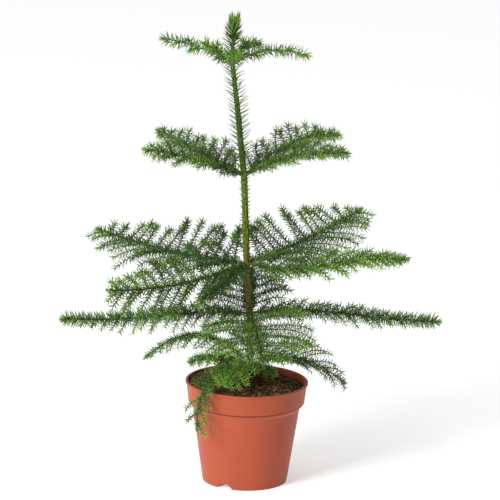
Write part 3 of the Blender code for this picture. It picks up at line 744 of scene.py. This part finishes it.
# --- Boughs -------------------------------------------------------------------------------------
# Five whorls of branches of young green wood.  Each is one slim limb that grows out of the stem
# at a small collar and thins all the way to its tip, inside its needles.

# A whorl: its height, the bare share of its branches, and its needles: how many in a millimetre,
# how long, and at what angle from the twig in degrees.
Tier = namedtuple("Tier", "height bare density needle angle")
TIERS = {
    5: Tier(414 * MM, 0.02, 1.3, 9.6 * MM, 80),
    4: Tier(304 * MM, 0.05, 1.85, 8.2 * MM, 78),
    3: Tier(218 * MM, 0.03, 2.0, 7.5 * MM, 80),
    2: Tier(168 * MM, 0.04, 2.1, 7.0 * MM, 80),
    1: Tier(115 * MM, 0.05, 2.4, 6.0 * MM, 78),
}
# A branch: azimuth in degrees round from the right; reach out, rise at its tip, arch at its
# middle and wave in millimetres.  Then its twigs: the longest in millimetres; vee, their lift in
# degrees, with roll added on the left and taken off on the right; forward, degrees from the
# branch, with skew added and taken off in the same way; and the gap between two of one row.
Branch = namedtuple(
    "Branch", "name tier azimuth reach rise arch wave twig vee roll forward skew gap")
BRANCHES = [Branch(*row) for row in (
    ("tier5_left", 5, 165, 70, 19, 4, 0, 15, 0, -15, 48, 0, 24),
    ("tier5_right", 5, 5, 73, 7, 9, 0, 13, -5, 15, 48, 0, 24),
    ("tier5_back", 5, 62, 54, 9, 9, 0, 14, 15, 0, 48, 0, 24),
    ("tier5_front", 5, -85, 46, 15, 3, 0, 12, 15, 0, 48, 0, 24),
    ("tier5_front_left", 5, 232, 46, 25, 3, 0, 14, 15, 0, 48, 0, 24),
    ("tier4_left_front", 4, 192, 98, 28, 4, 0, 27, 8, -22, 60, -15, 9.5),
    ("tier4_left_back", 4, 148, 101, 32, 2, 0, 27, 6, -22, 60, -15, 9.5),
    ("tier4_right_front", 4, -12, 101, 29, 9, 0, 27, 8, 22, 60, 15, 9.5),
    ("tier4_right_back", 4, 32, 107, 32, 12, 0, 27, 8, 22, 60, 15, 9.5),
    ("tier3_left_back", 3, 155, 164, 14, -5, 0, 52, 8, -24, 73, -21, 10.5),
    ("tier3_left_front", 3, 205, 145, -15, -8, 0, 50, -8, -32, 71, -21, 10),
    ("tier3_front_left", 3, 232, 68, -24, -2, 0, 16, -5, 0, 62, 0, 12),
    ("tier3_right_back", 3, 36, 138, 38, -4, 0, 52, 6, 22, 71, 21, 9.5),
    ("tier3_right_front", 3, -12, 157, 15, -4, -4, 32, 4, 14, 60, 0, 9),
    ("tier2_left", 2, 175, 183, -15, 0, 2, 21, -20, -40, 66, -5, 10),
    ("tier2_right", 2, 3, 184, -7, 4, 2, 21, 0, 30, 52, 0, 9),
    ("tier2_back", 2, 91.5, 112, 18, 2, 0, 46, 4, 0, 76, 0, 22),
    ("tier2_front", 2, -82, 100, -20, 3, 0, 60, 5, 0, 80, 0, 11.5),
    ("tier1_left", 1, 170, 106, -1, 28, 0, 20, -45, -20, 66, 0, 10.5),
    ("tier1_right", 1, -12, 95, -11, 17, 0, 36, 0, 22, 34, -4, 12),
    ("tier1_left_front", 1, 207, 66, 10, 6, 0, 27, -6, 0, 62, 0, 9),
    ("tier1_front", 1, 250, 66, -4, 8, 0, 30, 0, 0, 60, 0, 9.5),
    ("tier1_front_right", 1, -40, 34, -3, 3, 0, 17, -10, 0, 62, 0, 9),
    ("tier1_back", 1, 92, 80, 20, 6, 0, 26, 8, 0, 62, 0, 14),
    ("tier1_hanging", 1, 226, 72, -52, 0, 0, 24, 6, 0, 50, 0, 11),
)]
HANGING = "tier1_hanging"
BOUGH_SIDES = 12
BOUGH_STEP = 1.6 * MM
BOUGH_ROOT_RADIUS = 1.25 * MM
BOUGH_TIP_RADIUS = 0.45 * MM
COLLAR = 0.9 * MM           # how much thicker a branch is at the stem
COLLAR_LENGTH = 3.2 * MM
BOUGH_RELIEF = 0.09 * MM


def branch_axis(branch, s):
    """Points on a branch's axis for shares s of its length, from the stem's centre out.

    Straight rule: r = reach s, z = rise s + 4 arch s (1 - s) + wave sin(2 pi s).
    Hanging rule: r = reach (1 - (1 - s)^2), z = rise s^3, which goes over the rim and down.
    """
    s = np.asarray(s, dtype=float)
    height = TIERS[branch.tier].height
    root = np.array([float(np.interp(height, STEM_Z, STEM_X)), 0.0, height])
    angle = math.radians(branch.azimuth)
    if branch.name == HANGING:
        radius = branch.reach * (1 - (1 - s) ** 2)
        lift = branch.rise * s ** 3
    else:
        radius = branch.reach * s
        lift = (branch.rise * s + 4 * branch.arch * s * (1 - s)
                + branch.wave * np.sin(2 * math.pi * s))
    out = np.array([math.cos(angle), math.sin(angle), 0.0])
    return root + radius[..., None] * MM * out + lift[..., None] * MM * np.array([0, 0, 1.0])


def branch_length(branch):
    """Length of a branch along its axis."""
    points = branch_axis(branch, np.linspace(0, 1, 33))
    return float(np.linalg.norm(np.diff(points, axis=0), axis=1).sum())


def unit(vectors):
    """The same vectors, each of length 1."""
    return vectors / np.linalg.norm(vectors, axis=-1, keepdims=True)


def squared(along):
    """For unit vectors: one across each, and one square to both.

    Across is level, and for a vector that is nearly upright it is square to the Y axis.
    """
    upright = np.abs(along[..., 2:]) > 0.95
    guide = np.where(upright, np.array([0.0, 1.0, 0.0]), np.array([0.0, 0.0, 1.0]))
    across = unit(np.cross(guide, along))
    return across, np.cross(along, across)


def tubes(centres, radii, sides):
    """Closed tubes along lines of points: centre + radius (cos a across + sin a up).

    centres is (lines, rings, 3) and radii is (lines, rings, sides).
    """
    lines, rings, _ = centres.shape
    across, up = squared(unit(np.gradient(centres, axis=1)))
    turn = np.arange(sides) * math.tau / sides
    ring = (np.cos(turn)[:, None] * across[:, :, None] + np.sin(turn)[:, None] * up[:, :, None])
    points = centres[:, :, None] + radii[..., None] * ring
    ends = centres[:, [0, -1]]
    vertices = np.concatenate([points.reshape(lines, -1, 3), ends], axis=1)
    faces = closed_faces(rings, sides)[None] + (rings * sides + 2) * np.arange(lines)[:, None, None]
    return vertices.reshape(-1, 3), faces.reshape(-1, 4)


bough_parts = []
for branch in BRANCHES:
    length = branch_length(branch)
    rings = round(length / BOUGH_STEP)
    share = np.linspace(0.0, 1.0, rings)
    gone = share * length
    girth = BOUGH_ROOT_RADIUS + (BOUGH_TIP_RADIUS - BOUGH_ROOT_RADIUS) * share ** 0.8
    girth = girth + COLLAR * np.exp(-gone / COLLAR_LENGTH)
    turn = np.arange(BOUGH_SIDES) * math.tau / BOUGH_SIDES
    winding = np.cos(5 * turn[None] + math.tau * gone[:, None] / (9 * MM))
    scales = BOUGH_RELIEF * winding * np.cos(math.tau * gone[:, None] / (3.4 * MM))
    bough_parts.append(tubes(branch_axis(branch, share)[None], (girth[:, None] + scales)[None],
                             BOUGH_SIDES))


def joined(parts):
    """One array of vertices and one of faces from a list of (vertices, faces) pairs."""
    starts = np.cumsum([0] + [len(part[0]) for part in parts[:-1]])
    return (np.concatenate([part[0] for part in parts]),
            np.concatenate([part[1] + start for part, start in zip(parts, starts)]))


boughs = mesh_piece("boughs", *joined(bough_parts))
bough_bark, bough_tree, bough_shader = principled("bough_bark", 0.35)
bough_colours = mixed(bough_tree, ranged_axis(bough_tree, "Z", 0.30, 0.41),
                      paint(72, 90, 34), paint(100, 136, 52))
mottled(bough_tree, bough_shader, bough_colours, 300.0, 0.3, 0.65, 0.1)
grained(bough_tree, bough_shader, 1600.0, 0.0001, detail=4.0)
boughs.data.materials.append(bough_bark)
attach(boughs, "root")
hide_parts(*[branch.name + "_bough" for branch in BRANCHES])

# --- Twigs --------------------------------------------------------------------------------------
# Side twigs in two rows along each branch, flat like a comb in the lower tiers and raised into a
# vee in the upper ones: long near the stem, short at the tip, and bent a little forward.

TWIG_SHARE = (0, 0.22, 0.55, 0.8, 1)             # shares of a branch's length
TWIG_PROFILE = (0.75, 1, 0.92, 0.6, 0.28)        # and how long its twigs are there
TWIG_SAG = 22               # degrees by which twigs hang lower at a branch's tip than at its root
TWIG_RINGS = 14
TWIG_HOOK = 0.5
TWIG_SWAY = np.array([5.0, 5.0, 0.08])           # spread of each of its three random turns
TWIG_DROOP = np.array([0, 0, 0.06])
TWIG_JITTER = 0.12          # spread of a twig's place, as a share of the gap
SHORTEST_TWIG = 4 * MM
TWIG_TRIES = (1, 0.8, 0.6, 0.4)                  # lengths that a blocked twig is cut back to
# Millimetres between twigs of one row, at the root and at the tip, for branches whose twigs stand
# closer or wider than their own gap.
TWIG_GAPS = {
    "tier2_back": (12, 12), "tier2_front": (8.5, 8.5), "tier2_left": (11, 10),
    "tier2_right": (10, 14), "tier1_left": (7, 9), "tier1_right": (4, 17),
    "tier1_left_front": (7, 9), "tier1_front": (7, 9), "tier1_hanging": (15, 15),
}
TWIG_RADIUS = 0.55 * MM
TWIG_TIP_RADIUS = 0.3 * MM
NEEDLE_END = 3.0 * MM       # how far the needles stand out past a twig's own end
TWIG_CLEAR = 2.2 * MM       # clearance from other branches
STEM_CLEAR = 5 * MM
SOIL_CLEAR = 2.5 * MM
RIM_MIDDLE = 58.5 * MM
RIM_CLEAR = 4 * MM
TWIG_SEED = 7

Twig = namedtuple("Twig", "line branch share length")


def twig_line(branch, s, side, length, sway):
    """Centres of a twig: P(u) = root + L (u direction + u^2 bend + hook u^2 (1 - u) up).

    The direction is forward degrees from the axis, in a plane lifted by vee and roll, and the
    bend goes 0.14 forward and by a small curl up or down.  sway holds three small random turns:
    forward, up, and the curl.
    """
    ends = branch_axis(branch, np.array([s - 0.01, s, s + 0.01]))
    along = unit(ends[2] - ends[0])
    angle = math.radians(branch.azimuth)
    left = np.array([-math.sin(angle), math.cos(angle), 0.0])
    up = np.cross(along, left)
    lift = math.radians(branch.vee + side * branch.roll - TWIG_SAG * (s - 0.4) + sway[1])
    outward = side * math.cos(lift) * left + math.sin(lift) * up
    forward = math.radians(branch.forward + side * branch.skew + sway[0])
    direction = math.cos(forward) * along + math.sin(forward) * outward
    u = np.linspace(0, 1, TWIG_RINGS)[:, None]
    bend = 0.14 * along + sway[2] * up
    return ends[1] + length * (u * direction + u ** 2 * bend + TWIG_HOOK * u ** 2 * (1 - u) * up)


def blocked(line, name, axes):
    """Whether a twig comes too near the stem, the pot, the soil or another branch's axis."""
    tail = line[3:]
    radius = np.hypot(tail[:, 0], tail[:, 1])
    height = tail[:, 2]
    near_stem = np.hypot(tail[:, 0] - stem_x(height), tail[:, 1]) < STEM_CLEAR
    in_soil = (radius < POT_RIM_RADIUS) & (height < SOIL_TOP + SOIL_CLEAR)
    in_rim = (np.abs(radius - RIM_MIDDLE) < RIM_CLEAR) & (height < POT_HEIGHT + 2 * MM)
    in_wall = (radius < wall_radius(height) + STEM_CLEAR) & (height < SOIL_TOP)
    if (near_stem | in_soil | in_rim | in_wall).any():
        return True
    others = np.concatenate([points for other, points in axes.items() if other != name])
    gaps = np.linalg.norm(tail[:, None] - others[None], axis=-1)
    return bool((gaps < TWIG_CLEAR).any())


branch_points = {branch.name: branch_axis(branch, np.linspace(0.03, 1, 60)) for branch in BRANCHES}
twigs = []
for number, branch in enumerate(BRANCHES):
    twig_rng = np.random.default_rng([TWIG_SEED, number])
    tier = TIERS[branch.tier]
    length = branch_length(branch)
    root_gap, tip_gap = TWIG_GAPS.get(branch.name, (branch.gap, branch.gap))
    first = tier.bare + 5 * MM / length
    for side in (1, -1):
        next_s = first + (0.5 * root_gap * MM / length if side < 0 else 0)
        while next_s < 1 - 0.3 * tip_gap * MM / length:
            step = (root_gap + (tip_gap - root_gap) * next_s) * MM / length
            s = next_s + twig_rng.uniform(-TWIG_JITTER, TWIG_JITTER) * step
            next_s += step
            place = 1 - s if branch.name == HANGING else s
            longest = branch.twig * MM * np.interp(place, TWIG_SHARE, TWIG_PROFILE) - NEEDLE_END
            wanted = max(longest * (1.05 - 0.2 * twig_rng.uniform() ** 2), SHORTEST_TWIG)
            sway = twig_rng.normal(0, 1, 3) * TWIG_SWAY - TWIG_DROOP
            for share in TWIG_TRIES:
                line = twig_line(branch, s, side, wanted * share, sway)
                if not blocked(line, branch.name, branch_points):
                    twigs.append(Twig(line, branch, s, wanted * share))
                    break

twig_lines = np.stack([twig.line for twig in twigs])
ring_share = np.linspace(0, 1, TWIG_RINGS)
twig_girth = TWIG_RADIUS + (TWIG_TIP_RADIUS - TWIG_RADIUS) * ring_share
twig_radii = np.broadcast_to(twig_girth[None, :, None], (len(twigs), TWIG_RINGS, 6))
twig_wood = mesh_piece("twigs", *tubes(twig_lines, twig_radii, 6))
finish([twig_wood], "twig_bark", 0.35, paint(70, 96, 38), (400.0, 0.25, 0.6, 0.1),
       (1800.0, 0.00008, 3.0))
foliage_nodes = [branch.name + "_foliage" for branch in BRANCHES]
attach(twig_wood, "root")
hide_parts(*foliage_nodes)

# --- Needles ------------------------------------------------------------------------------------
# Soft awl-shaped needles, set in a spiral on every twig and branch and on the upper stem.  Each
# leans forward and up.  Near a tip they turn forward and brighten, and on the branches and the
# top whorl they crowd there into a bud.

NEEDLE_WIDTH = 1.08 * MM
NEEDLE_FLATNESS = 0.85
NEEDLE_CURVE = 0.36
# By tier, from 0, which isn't used, to 5:
TIER_GIRTHS = (1, 0.66, 0.88, 0.92, 0.88, 1.05)  # width of its needles
TIP_YOUTH = (1, 0.6, 0.6, 0.9, 0.75, 1)          # how much brighter its tips are
ROPE_NEEDLES = (1, 1.1, 1.6, 1.1, 1.05, 1.05)    # length of the needles on the branches themselves
ROPE_DENSITY = (1, 1.4, 2.0, 1.5, 1.3, 1.2)      # and how much closer they stand
TWIG_BUDS = (0, 0, 0, 0.2, 0.35, 1)              # how far twig tips close into a bud
NEEDLE_LEAN = (0, 0.3, 0.35, 0.38, 0.4, 0.3)     # how much needles bend forward
NEEDLE_RISE = (0, 0.2, 0.2, 0.15, 0.15, 0.0)     # how much needles bend up
TIER_YOUTH = np.array([0, 0.05, 0.02, 0.0, 0.04, 0.08])      # how much fresher its green is
# By branch: fewer, thicker needles; a thinner rope of needles on the branch itself; and how much
# fresher its green is, partly real and partly painted light and shade for how light falls on it.
SPREAD = {"tier1_right": 1.3, "tier1_left": 1.2}
ROPE_SPREAD = {"tier2_front": 3, "tier1_right": 1.5}
# Painted light and shade: a branch's shift lightens or darkens the green of all its needles.
FRESHER_AND_PAINTED_LIGHT = {
    "tier5_front_left": 0.1, "tier3_front_left": -0.22, "tier3_right_front": 0.1,
    "tier2_front": 0.04, "tier2_left": 0.07, "tier2_right": 0.06, "tier1_right": -0.16,
    "tier1_left": -0.03, "tier1_front_right": 0.02, "tier1_hanging": -0.05, "tier1_front": 0.09,
    "tier1_left_front": 0.06,
}
# Branches whose older needles are a cool green, most of them at the back: partly their own tone and
# partly a painted reflection of the white surround.
COOL_AND_PAINTED_REFLECTION = ("tier4_left_back", "tier4_right_back", "tier3_left_back", "tier3_right_back",
          "tier2_back", "tier2_left", "tier2_right", "tier1_back")
TIP_ZONE = 5 * MM           # the end of a twig, where its needles close
BUD_CROWDING = 0.9          # how much closer needles stand near a bud
PLAIN_TIP = 50              # degrees of the last needles from a plain twig
BUD_CLOSING = 34            # degrees by which a bud's are closer
NEEDLE_SPIRAL = math.radians(137.508)
ROPE_AGE = 0.07             # freshness of a branch's own needles
TWIG_AGE = 0.2              # and of the twigs at its tip, more than those at its root
SPRAY_VARIETY = 0.09        # spread of the freshness of whole sprays
NEEDLE_VARIETY = 0.11       # and of single needles
AXIS_NEEDLE_END = 1 * MM    # how far short of a branch's tip its last needle stands
needle_rng = np.random.default_rng(23)

# A spray is a twig or a branch with its needles.
Spray = namedtuple("Spray", "branch line length density needle age bud girth")
sprays = []
for twig in twigs:
    name = twig.branch.name
    number = twig.branch.tier
    tier = TIERS[number]
    spread = SPREAD.get(name, 1)
    sprays.append(Spray(
        twig.branch, twig.line, twig.length, tier.density / spread, tier.needle,
        TWIG_AGE * twig.share + FRESHER_AND_PAINTED_LIGHT.get(name, 0), TWIG_BUDS[number],
        TIER_GIRTHS[number] * math.sqrt(spread)))
for branch in BRANCHES:
    name = branch.name
    number = branch.tier
    tier = TIERS[number]
    end = 1 - AXIS_NEEDLE_END / branch_length(branch)
    spread = SPREAD.get(name, 1) * ROPE_SPREAD.get(name, 1)
    sprays.append(Spray(
        branch, branch_axis(branch, np.linspace(tier.bare, end, TWIG_RINGS * 3)),
        branch_length(branch) * (end - tier.bare), tier.density * ROPE_DENSITY[number] / spread,
        tier.needle * ROPE_NEEDLES[number], ROPE_AGE + FRESHER_AND_PAINTED_LIGHT.get(name, 0), 1,
        TIER_GIRTHS[number] * math.sqrt(SPREAD.get(name, 1))))


def along_line(line, share):
    """Points and unit directions on a line of points at shares of its length."""
    place = share * (len(line) - 1)
    low = np.clip(place.astype(int), 0, len(line) - 2)
    part = (place - low)[:, None]
    points = line[low] * (1 - part) + line[low + 1] * part
    return points, unit(line[low + 1] - line[low])


def smooth(value, start, end):
    """0 below start, 1 above end, and a smooth rise between."""
    share = np.clip((value - start) / (end - start), 0, 1)
    return share * share * (3 - 2 * share)


def spray_needles(spray, rng):
    """Roots, first directions, bends, lengths and freshness of the needles of one spray.

    Needle i stands at spiral angle i times 137.5 degrees.  In the tip zone its angle from the
    twig closes from the tier's to 50 - 34 bud degrees, the needles stand 1 + 0.9 bud times as
    close, and they shorten by the share 0.1 + 0.3 bud.  At a twig's root they are 0.85 as long.
    """
    number = spray.branch.tier
    widest = TIERS[number].angle
    plain = max(spray.length - TIP_ZONE, 0) / MM * spray.density
    tip_density = spray.density * (1 + BUD_CROWDING * spray.bud)
    count = int(plain + tip_density * min(spray.length, TIP_ZONE) / MM)
    rank = np.arange(count)
    gone = np.where(rank < plain, rank / spray.density,
                    plain / spray.density + (rank - plain) / tip_density) * MM
    gone = gone + rng.uniform(-0.2, 0.2, count) * MM
    share = np.clip(gone / spray.length, 0, 1)
    roots, along = along_line(spray.line, share)
    across, up = squared(along)
    spiral = rank * NEEDLE_SPIRAL + rng.uniform(-0.35, 0.35, count)
    outward = np.cos(spiral)[:, None] * across + np.sin(spiral)[:, None] * up
    closing = smooth(gone, spray.length - TIP_ZONE, spray.length)
    turned_in = widest - (PLAIN_TIP - BUD_CLOSING * spray.bud)
    angle = np.radians(widest + rng.normal(0, 6, count) - turned_in * closing)
    first = np.cos(angle)[:, None] * along + np.sin(angle)[:, None] * outward
    rise = np.array([0, 0, NEEDLE_RISE[number]])
    bend = NEEDLE_LEAN[number] * along - 0.1 * outward + rise
    lengths = spray.needle * rng.uniform(0.85, 1.05, count) * (0.85 + 0.15 * share) * (
        1 - (0.1 + 0.3 * spray.bud) * closing)
    youth = 0.2 * closing + 0.14 * smooth(share, 0.2, 1)
    fresh = TIP_YOUTH[number] * youth + spray.age
    return roots, first, bend, lengths, fresh


def needles_mesh(roots, first, bends, lengths, girths):
    """Closed three-sided needles that taper and curve.

    Centre: P(t) = root + L (t first + 0.36 t^2 bend), at t = 0, 0.35, 0.7 and 1.  Half width:
    0.5, 0.55 and 0.38 of the width times the needle's girth, then a point.  The needle is
    thinner along its bend.
    """
    stations = np.array([0.0, 0.35, 0.7])
    widths = np.array([0.5, 0.55, 0.38]) * NEEDLE_WIDTH
    wide = unit(np.cross(first, bends))
    thin = unit(np.cross(wide, first)) * NEEDLE_FLATNESS
    corners = np.arange(3) * math.tau / 3
    ring = np.cos(corners)[:, None] * thin[:, None] + np.sin(corners)[:, None] * wide[:, None]

    def centre(t):
        return roots + lengths[:, None] * (t * first + NEEDLE_CURVE * t * t * bends)

    ring = girths[:, None, None] * ring
    points = [centre(t)[:, None] + width * ring for t, width in zip(stations, widths)]
    vertices = np.concatenate([*points, centre(1.0)[:, None]], axis=1)
    quads = ring_faces(3, 3)
    caps = np.array([(0, 2, 1, 1), (6, 7, 9, 9), (7, 8, 9, 9), (8, 6, 9, 9)])
    one = np.concatenate([quads, caps])
    faces = one[None] + 10 * np.arange(len(roots))[:, None, None]
    return vertices.reshape(-1, 3), faces.reshape(-1, 4)


parts = [spray_needles(spray, needle_rng) for spray in sprays]
counts = [len(part[0]) for part in parts]
shifts = [needle_rng.normal(0, SPRAY_VARIETY) for _ in sprays]
roots, first, bends, lengths, fresh = [np.concatenate(columns) for columns in zip(*parts)]

# The upper stem's own needles: short stubs below the fourth tier, long ones above it, and the
# leader's, which crowd round the bud at the top and bend in over it.
STUB_FOOT = 232 * MM
STUB_GAP = 0.9 * MM
STUB_LENGTH = 5 * MM
LONG_GAP = 0.75 * MM
LONG_LENGTH = 12 * MM
LEADER_FOOT = 428 * MM
LEADER_BUD = 436 * MM
LEADER_TOP = 455 * MM
LEADER_NEEDLES = 160
LEADER_CROWDING = 0.6       # power of the share: under 1, needles crowd towards the top
STEM_ANGLE = 63             # degrees of the stem's needles from it
LEADER_CLOSING = 13         # degrees less, at the top
low = np.arange(STUB_FOOT, TIERS[4].height, STUB_GAP)
high = np.arange(TIERS[4].height, LEADER_FOOT, LONG_GAP)
top_share = np.linspace(0, 1, LEADER_NEEDLES) ** LEADER_CROWDING
top = LEADER_FOOT + (LEADER_TOP - LEADER_FOOT) * top_share
heights = np.concatenate([low, high, top])
count = len(heights)
spiral = np.arange(count) * NEEDLE_SPIRAL + needle_rng.uniform(-0.3, 0.3, count)
to_tip = np.clip((heights - LEADER_BUD) / (LEADER_TOP - LEADER_BUD), 0, 1)
stem_angle = np.radians(STEM_ANGLE - LEADER_CLOSING * to_tip + needle_rng.normal(0, 7, count))
out = np.stack([np.cos(spiral), np.sin(spiral), np.zeros(count)], -1)
upwards = np.array([0, 0, 1.0])
stem_first = np.sin(stem_angle)[:, None] * out + np.cos(stem_angle)[:, None] * upwards
stem_roots = np.stack([stem_x(heights), np.zeros(count), heights], -1) + out * (
    0.7 * stem_radius(heights)[:, None])
stem_bends = np.array([0, 0, 0.3]) + to_tip[:, None] * (np.array([0, 0, 0.9]) - 0.75 * out)
stem_lengths = np.where(heights < TIERS[4].height, STUB_LENGTH, LONG_LENGTH)
stem_lengths = stem_lengths * (1 - 0.2 * to_tip)
stem_lengths = stem_lengths * needle_rng.uniform(0.85, 1.1, count)
stem_girths = 0.95 + 0.15 * to_tip
stem_fresh = 0.5 * to_tip * needle_rng.uniform(0, 1, count)

roots = np.concatenate([roots, stem_roots])
first = np.concatenate([first, stem_first])
bends = np.concatenate([bends, stem_bends])
lengths = np.concatenate([lengths, stem_lengths])
girths = np.concatenate([np.repeat([spray.girth for spray in sprays], counts), stem_girths])
fresh = np.concatenate([fresh, stem_fresh])
fresh = fresh + np.concatenate([np.repeat(shifts, counts), np.zeros(count)])
spray_tiers = np.repeat([spray.branch.tier for spray in sprays], counts)
fresh = fresh + TIER_YOUTH[np.concatenate([spray_tiers, np.full(count, 5)])]
fresh = fresh + needle_rng.normal(0, NEEDLE_VARIETY, len(fresh))

# Needles whose ends would be in the pot or the soil are left out.
ends = roots + lengths[:, None] * (first + NEEDLE_CURVE * bends)
end_radius = np.hypot(ends[:, 0], ends[:, 1])
in_pot = (end_radius < POT_RIM_RADIUS + 0.5 * MM) & (ends[:, 2] < POT_HEIGHT) & (
    end_radius > band_top_radius - 3 * MM)
in_soil = (end_radius < POT_RIM_RADIUS) & (ends[:, 2] < SOIL_TOP)
in_wall = (end_radius < wall_radius(ends[:, 2]) + 0.5 * MM) & (ends[:, 2] < BAND_FOOT)
keep = ~(in_pot | in_soil | in_wall)

# Each piece of needles has one green, from the oldest to the freshest.  A needle's freshness, which
# holds its branch's painted light and shade as well as its age, chooses its piece, but on some
# branches the older ones are a cool green, partly a painted reflection of the white surround.
TONE_STEPS = (0.0, 0.10, 0.20, 0.31, 0.45)
COOL_BELOW = 0.16
NEEDLE_TONES = (
    ("needles_shade", paint(64, 92, 40)),
    ("needles_deep", paint(78, 108, 52)),
    ("needles_old", paint(92, 126, 54)),
    ("needles_full", paint(104, 144, 56)),
    ("needles_young", paint(120, 164, 60)),
    ("needles_tip", paint(138, 184, 68)),
    ("needles_cool_painted_sheen", paint(78, 108, 66)),
)
reflecting_sprays = np.repeat([spray.branch.name in COOL_AND_PAINTED_REFLECTION for spray in sprays], counts)
cool_and_reflecting = np.concatenate([reflecting_sprays, np.full(count, False)])
needle_tone = np.searchsorted(TONE_STEPS, fresh, side="right")
# Painted reflection: older needles on those branches take the cool tone, partly for the white
# surround.
needle_tone[cool_and_reflecting & (fresh > 0) & (fresh < COOL_BELOW)] = len(TONE_STEPS) + 1
for number, (name, colour) in enumerate(NEEDLE_TONES):
    chosen = keep & (needle_tone == number)
    piece = mesh_piece(name, *needles_mesh(roots[chosen], first[chosen], bends[chosen],
                                           lengths[chosen], girths[chosen]))
    finish([piece], name + "_green", 0.3, colour, (700.0, 0.12, 0.5, 0.08))
    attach(piece, "root")
    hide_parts(*foliage_nodes)
